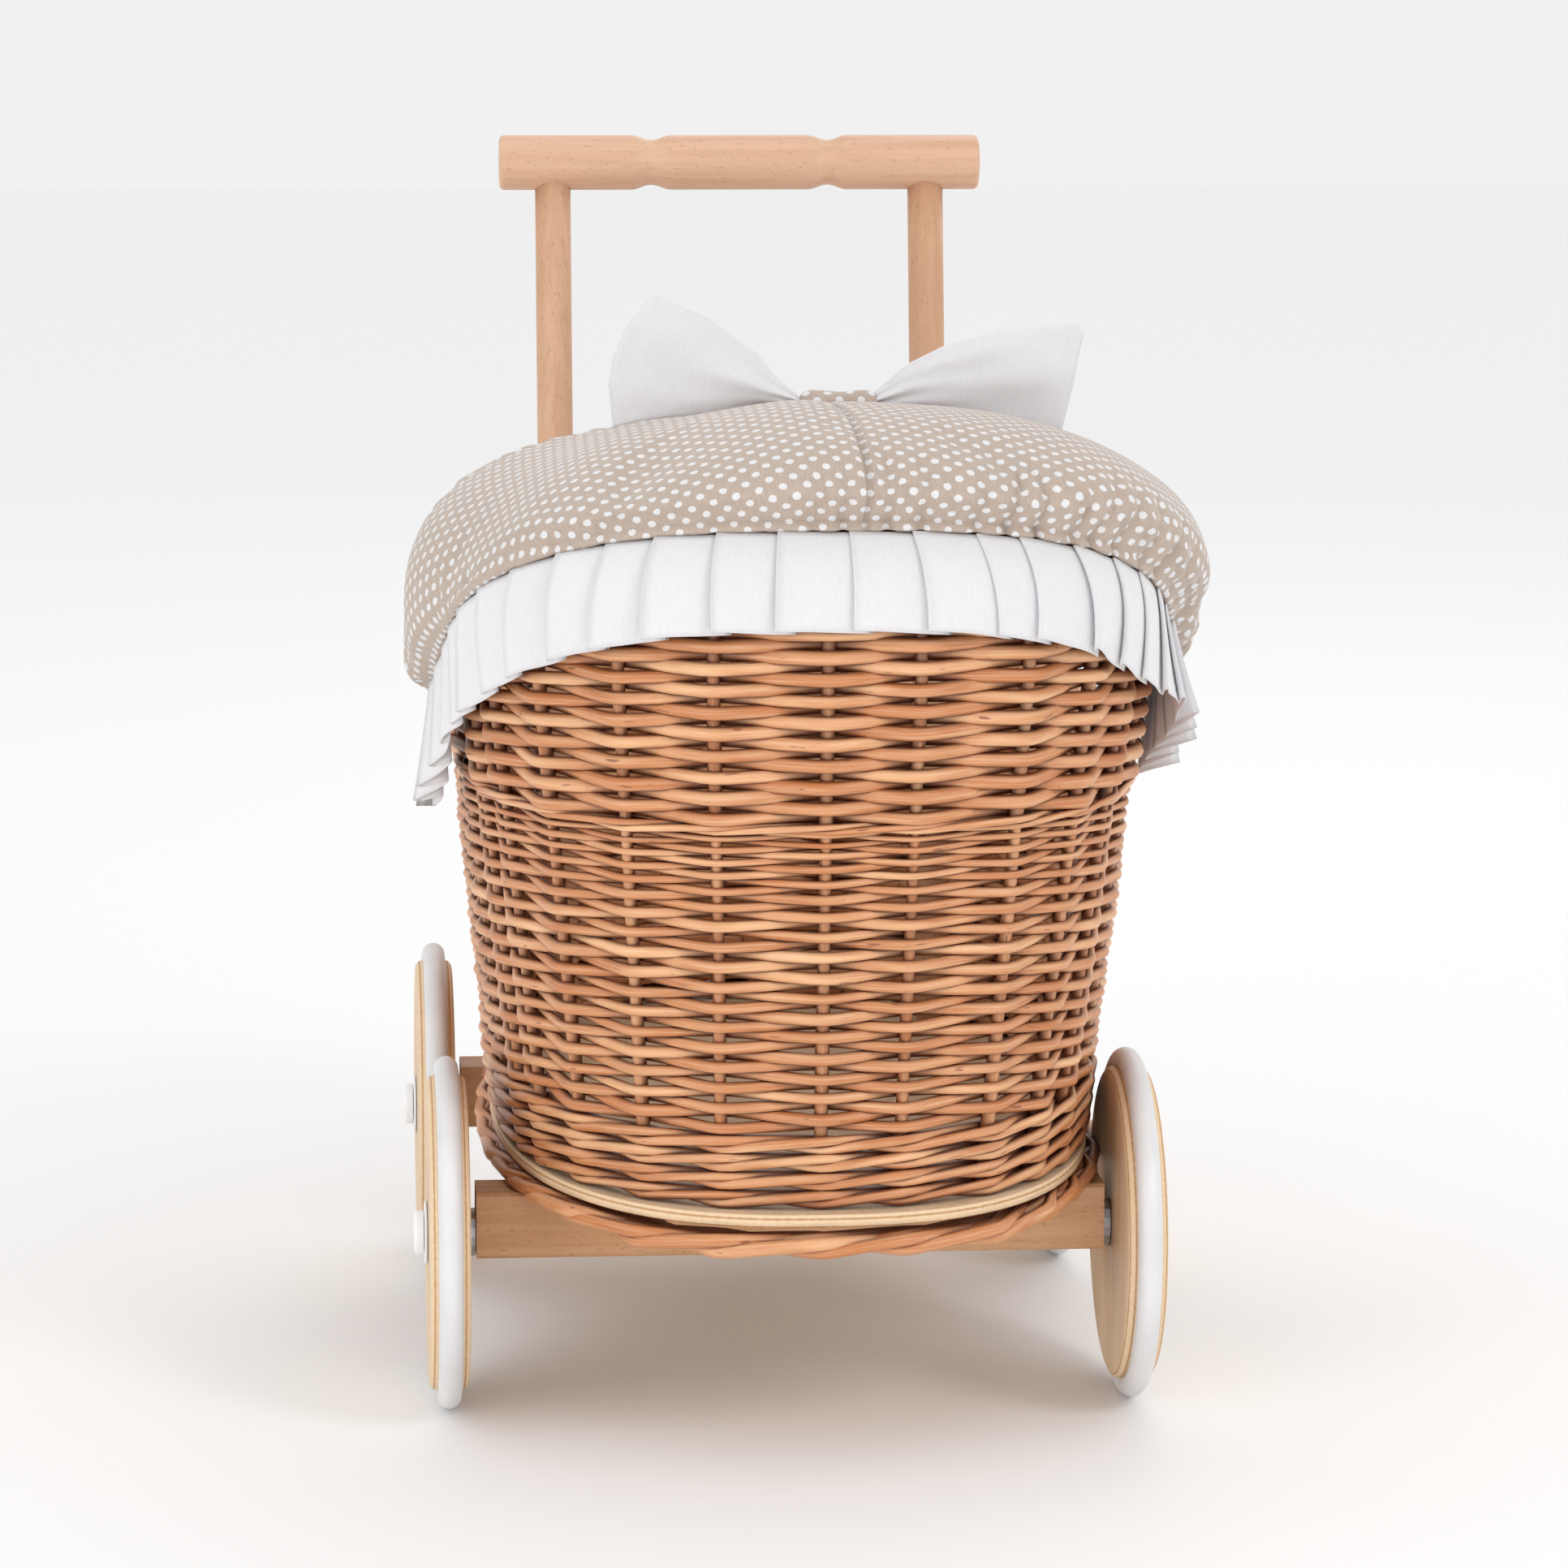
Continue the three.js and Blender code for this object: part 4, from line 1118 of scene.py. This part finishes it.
def make_ruffle():
    """A strip in knife pleats, sewn under the cover's edge. Its free edge stands off."""
    fine = np.linspace(END_SWEEP, np.pi - END_SWEEP, 900)
    length = running_length(hoop_point(fine, SEAM_TILT, SEAM_PIVOT_Z, -4.0))
    total = length[-1]
    places = []
    lifts = []
    start = 0.0
    while start < total:
        side = abs(start / total - 0.5) * 2
        width = mix(25, 17, side**2) * rng.uniform(0.78, 1.22)
        face = np.linspace(0, 1, 9)
        places += [*mix(start - PLEAT_FOLD, start + width, face)]
        free_edge = 3.1 * rng.uniform(0.75, 1.25) + SIDE_PLEAT * ease((side - 0.66) / 0.24)
        lifts += [*(0.3 + free_edge * face**1.6)]
        places += [start + width + 0.2, start + width - 0.4 * PLEAT_FOLD]
        lifts += [0.75 * free_edge, 0.4 * free_edge]
        start += width
    places = np.clip(np.array(places), 0, total)
    lifts = np.array(lifts)
    sweep = np.interp(places, length, fine)
    side = np.abs(places / total - 0.5) * 2
    right = places < total / 2
    drop = np.linspace(0.02, 1, 16)[:, None]
    flutter = 1.6 * ripples(places, (31, 47, 83), 21)
    flare_right = 12 * np.exp(-(((side - 0.68) / 0.14) ** 2))
    flare_left = 3 * ease((side - 0.45) / 0.3)
    flare = np.where(right, flare_right, flare_left)
    hang = 11 * ease((side - 0.7) / 0.3) * ~right
    stand = mix(0.55, 1.5, drop) * lifts + (flutter * (0.5 + side) + flare) * drop**1.3
    shift = drop**1.5 * 0.012 * ripples(places, (58, 95), 33)
    lift = COVER_CLEARANCE + 0.6 + np.maximum(stand, 0)
    pivot_z = mix(SEAM_PIVOT_Z, HEM_PIVOT_Z - hang, drop)
    points = hoop_point(sweep + shift, mix(SEAM_TILT, HEM_TILT, drop), pivot_z, -lift)
    rows, columns = points.shape[:2]
    faces = grid_faces(rows, columns)
    ruffle = make_piece("ruffle_strip", points, faces, COTTON, "white_cotton", "ruffle")
    run = running_length(points[rows // 2])
    down = np.stack([running_length(points[:, column]) for column in range(columns)], 1)
    point_attribute(ruffle, "cloth", np.stack([run + 0 * down, down, 0 * down], -1) * MM)
    thicken(ruffle)


def curve_through(points, shares):
    """Points at shares of the way along a line from each given point to the next."""
    points = np.asarray(points, float)
    length = running_length(points)
    at = np.asarray(shares) * length[-1]
    return np.stack([np.interp(at, length, points[:, axis]) for axis in range(points.shape[1])], -1)


def crown_height(cover_points, x):
    """Height of the cover's top side where the bow stands."""
    near = cover_points[np.abs(cover_points[:, 1] - BOW_Y) < 6]
    near = near[np.argsort(near[:, 0])]
    columns = np.round(near[:, 0] / 8)
    spots = np.unique(columns)
    tops = np.array([near[columns == spot, 2].max() for spot in spots])
    return np.interp(x, spots * 8, tops)


def make_wing(name, cover_points, side, outer, top, seed):
    """A wing of the bow: a flattened loop of cloth, gathered at the knot. Its top and outer
    edges are [x, z] pairs, and it stands on the cover."""
    along = np.linspace(0, 1, 46)
    up = np.linspace(0, 1, 34)
    foot_x = side * mix(WING_START, abs(outer[0][0]), along)
    low = np.stack([foot_x, crown_height(cover_points, BOW_X + foot_x) - 1.5], -1)
    high = curve_through(top, along)
    end = curve_through([low[-1], *outer[1:]], up)
    straight = mix(low[-1], high[-1], up[:, None])
    bow_out = (end - straight)[:, None] * (along**2)[None, :, None]
    flat = mix(low[None], high[None], up[:, None, None]) + bow_out
    u, v = np.meshgrid(along, up)
    swell = 5.2 * np.sin(np.pi * u) ** 0.7 * np.sin(np.pi * v) ** 0.6
    creases = 1.2 * (1 - u) ** 1.8 * np.sin(v * 17 + 2 * u + seed)
    creases = creases + 1.1 * np.sin(5 * v + 6 * u + seed) + 0.6 * np.sin(11 * v - 7 * u + 2 * seed)
    rim = np.sin(np.pi * v) ** 0.5 * np.minimum(1, (1 - u) * 8)
    half_gap = (0.6 + swell) * np.maximum(rim, 0.5)
    front, back = (
        np.stack([
            BOW_X + flat[..., 0], BOW_Y - face * half_gap + creases * (0.3 + 0.7 * rim),
            flat[..., 1]], -1)
        for face in (1, -1))
    loop = np.concatenate([front, back[::-1]])
    rows, columns = loop.shape[:2]
    faces = grid_faces(rows, columns, wrap_rows=True)
    node = name.removesuffix("_cloth")
    wing = make_piece(name, loop, faces, COTTON, "white_cotton", node)
    across = np.stack([running_length(loop[row]) for row in range(rows)])
    upward = np.stack([running_length(loop[:, column]) for column in range(columns)], 1)
    point_attribute(wing, "cloth", np.stack([across, upward, 0 * across], -1) * MM)
    thicken(wing)


def make_bow(cover_points):
    for name, shape in WINGS.items():
        make_wing(name, cover_points, *shape)

    along = np.linspace(-1, 1, 40)[:, None]
    turn = np.linspace(0, 2 * np.pi, 40, endpoint=False)[None, :]
    round_off = np.maximum((1 - np.abs(along) ** 6) ** 0.5, 0.05)
    wrinkles = 0.8 * along**2 + 0.35 * np.sin(3 * turn + 4 * along)
    radius = (KNOT_RADIUS + wrinkles) * round_off
    points = np.stack([
        BOW_X + KNOT_HALF_LENGTH * along + 0 * turn, BOW_Y + 1.3 * radius * np.cos(turn),
        KNOT_Z - KNOT_DROP + radius * np.sin(turn)], -1)
    faces = tube_faces(40, 40)
    knot = make_piece("bow_knot_cloth", points, faces, DOTTED, "dotted_cotton", "bow_knot")
    far_from_seam = 9 + 0 * radius
    cloth = [KNOT_HALF_LENGTH * along + 0 * turn, 6.5 * turn + 0 * along, far_from_seam]
    point_attribute(knot, "cloth", np.stack(cloth, -1) * MM)


# ---- Wood, wheels and hardware -----------------------------------


def make_board():
    count = 240
    angle = np.linspace(0, 2 * np.pi, count, endpoint=False)
    levels = [
        (BOARD_BOTTOM, 0.6), (BOARD_BOTTOM + 0.5, 0), (BOARD_TOP - 0.5, 0), (BOARD_TOP, 0.6)]
    rings = [board_oval(angle, height, inset) for height, inset in levels]
    faces = tube_faces(len(levels), count)
    board = make_piece("base_board_ply", rings, faces, BOARD_EDGE, "plywood", "base_board")
    board.data.materials.append(BIRCH)
    for face in board.data.polygons[-2:]:
        face.material_index = 1
        face.use_smooth = False


def make_wheel(name, side, axle_y):
    place = (CHASSIS_X + side * DISC_INNER_FACE, axle_y, WHEEL_RADIUS)
    rounding = 4.0
    shoulder = DISC_RADIUS - rounding
    middle = DISC_THICKNESS / 2
    ring = WHEEL_RADIUS - TYRE_RADIUS
    seat = TYRE_RADIUS + 0.15
    mouth = math.degrees(math.acos((ring - DISC_RADIUS) / seat))
    profile = [
        [DISC_BORE, 0], [shoulder - 0.01, 0],
        *arc((shoulder, rounding), rounding, -90, 0, 8),
        *arc((ring, middle), seat, 180 + mouth, 180 - mouth, 12),
        *arc((shoulder, DISC_THICKNESS - rounding), rounding, 0, 90, 8),
        [shoulder - 0.01, DISC_THICKNESS], [DISC_BORE, DISC_THICKNESS],
    ]
    disc = turned(
        f"{name}_ply_disc", profile, place, side, BIRCH, "plywood", f"{name}_disc", name, 128,
        closed=True)
    disc.data.materials.append(DISC_EDGE)
    for face in disc.data.polygons:
        if abs(face.normal.x) < 0.93:
            face.material_index = 1

    section = arc((ring, middle), TYRE_RADIUS, 0, 360, 25)[:-1]
    turned(
        f"{name}_rubber_ring", section, place, side, RUBBER, "white_rubber", f"{name}_tyre", name,
        144, closed=True)

    face = DISC_THICKNESS + 0.3
    flange = [
        [CAP_BORE, face], [CAP_BASE_RADIUS - 0.3, face],
        *arc((CAP_BASE_RADIUS - 0.7, face + 0.6), 0.6, -60, 90, 6), [CAP_BORE, face + 1.2]]
    turned(
        f"{name}_cap_flange", flange, place, side, PLASTIC, "white_plastic", f"{name}_cap_base",
        name, 72, closed=True)

    foot = face + 1.5
    top = foot + CAP_HEIGHT
    crown = 1.6
    dome = [
        [0.2, foot], [CAP_RADIUS - 0.3, foot], [CAP_RADIUS, foot + 0.3],
        *arc((CAP_RADIUS - crown, top - crown), crown, 0, 80, 8),
        [CAP_RADIUS * 0.5, top + 0.25], [0.2, top + 0.35]]
    turned(
        f"{name}_screw_cap", dome, place, side, PLASTIC, "white_plastic", f"{name}_cap", name, 72)


def make_handle():
    end = BAR_HALF_LENGTH
    rounding = 2.5
    profile = [[0.2, -end], [BAR_RADIUS - rounding - 0.1, -end]]
    profile += arc((BAR_RADIUS - rounding, rounding - end), rounding, -80, 0, 7)
    for middle in (-GRIP_X, GRIP_X):
        for share in np.linspace(-1, 1, 21):
            depth = GRIP_DEPTH * math.cos(math.pi * share / 2) ** 2
            profile.append([BAR_RADIUS - depth, middle + share * GRIP_HALF_WIDTH])
    profile += arc((BAR_RADIUS - rounding, end - rounding), rounding, 0, 80, 7)
    profile += [[BAR_RADIUS - rounding - 0.1, end], [0.2, end]]
    place = (CHASSIS_X, BAR_Y, BAR_Z)
    turned("handle_bar_wood", profile, place, 1, BEECH_BAR, "beech", "handle_bar", "chassis")

    foot = np.array([0, POST_FOOT_Y, BOARD_TOP])
    length = np.linalg.norm(np.subtract(place, foot)[1:])
    lean = np.array([0, BAR_Y - POST_FOOT_Y, BAR_Z - BOARD_TOP]) / length
    angle = np.linspace(0, 2 * np.pi, 64, endpoint=False)[:, None]
    across = np.array([1.0, 0, 0])
    ring = POST_RADIUS * (np.cos(angle) * across + np.sin(angle) * np.cross(lean, across))
    share = np.linspace(0, 1, 12)[:, None, None]
    for name, side in (("left", -1), ("right", 1)):
        points = foot + ring + lean * (length - BAR_RADIUS + 3) * share
        points[..., 0] += CHASSIS_X + side * POST_X
        points[0, :, 1] -= (points[0, :, 2] - BOARD_TOP - 0.3) * lean[1] / lean[2]
        points[0, :, 2] = BOARD_TOP + 0.3
        make_piece(
            f"{name}_post_wood", points, tube_faces(12, 64), BEECH_POST, "beech", f"{name}_post")


def dress_nodes():
    """CAD nodes that stay get a better material."""
    for name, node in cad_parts.items():
        if node.hide_render:
            continue
        if "crossbar" in name:
            material = BEECH_ACROSS
        elif "dowel" in name:
            material = BEECH_POST
        elif "bush" in name:
            material = PLASTIC
        else:
            material = STEEL
        for slot in node.material_slots:
            slot.material = material


make_camera()
make_studio()
make_board()
make_wall()
make_foot_border()
make_hood()
make_borders()
cover_points = make_cover()
make_ruffle()
make_bow(cover_points)
make_handle()
for end, axle_y in AXLES_Y.items():
    make_wheel(f"{end}_left_wheel", -1, axle_y)
    make_wheel(f"{end}_right_wheel", 1, axle_y)
dress_nodes()

bpy.context.view_layer.update()
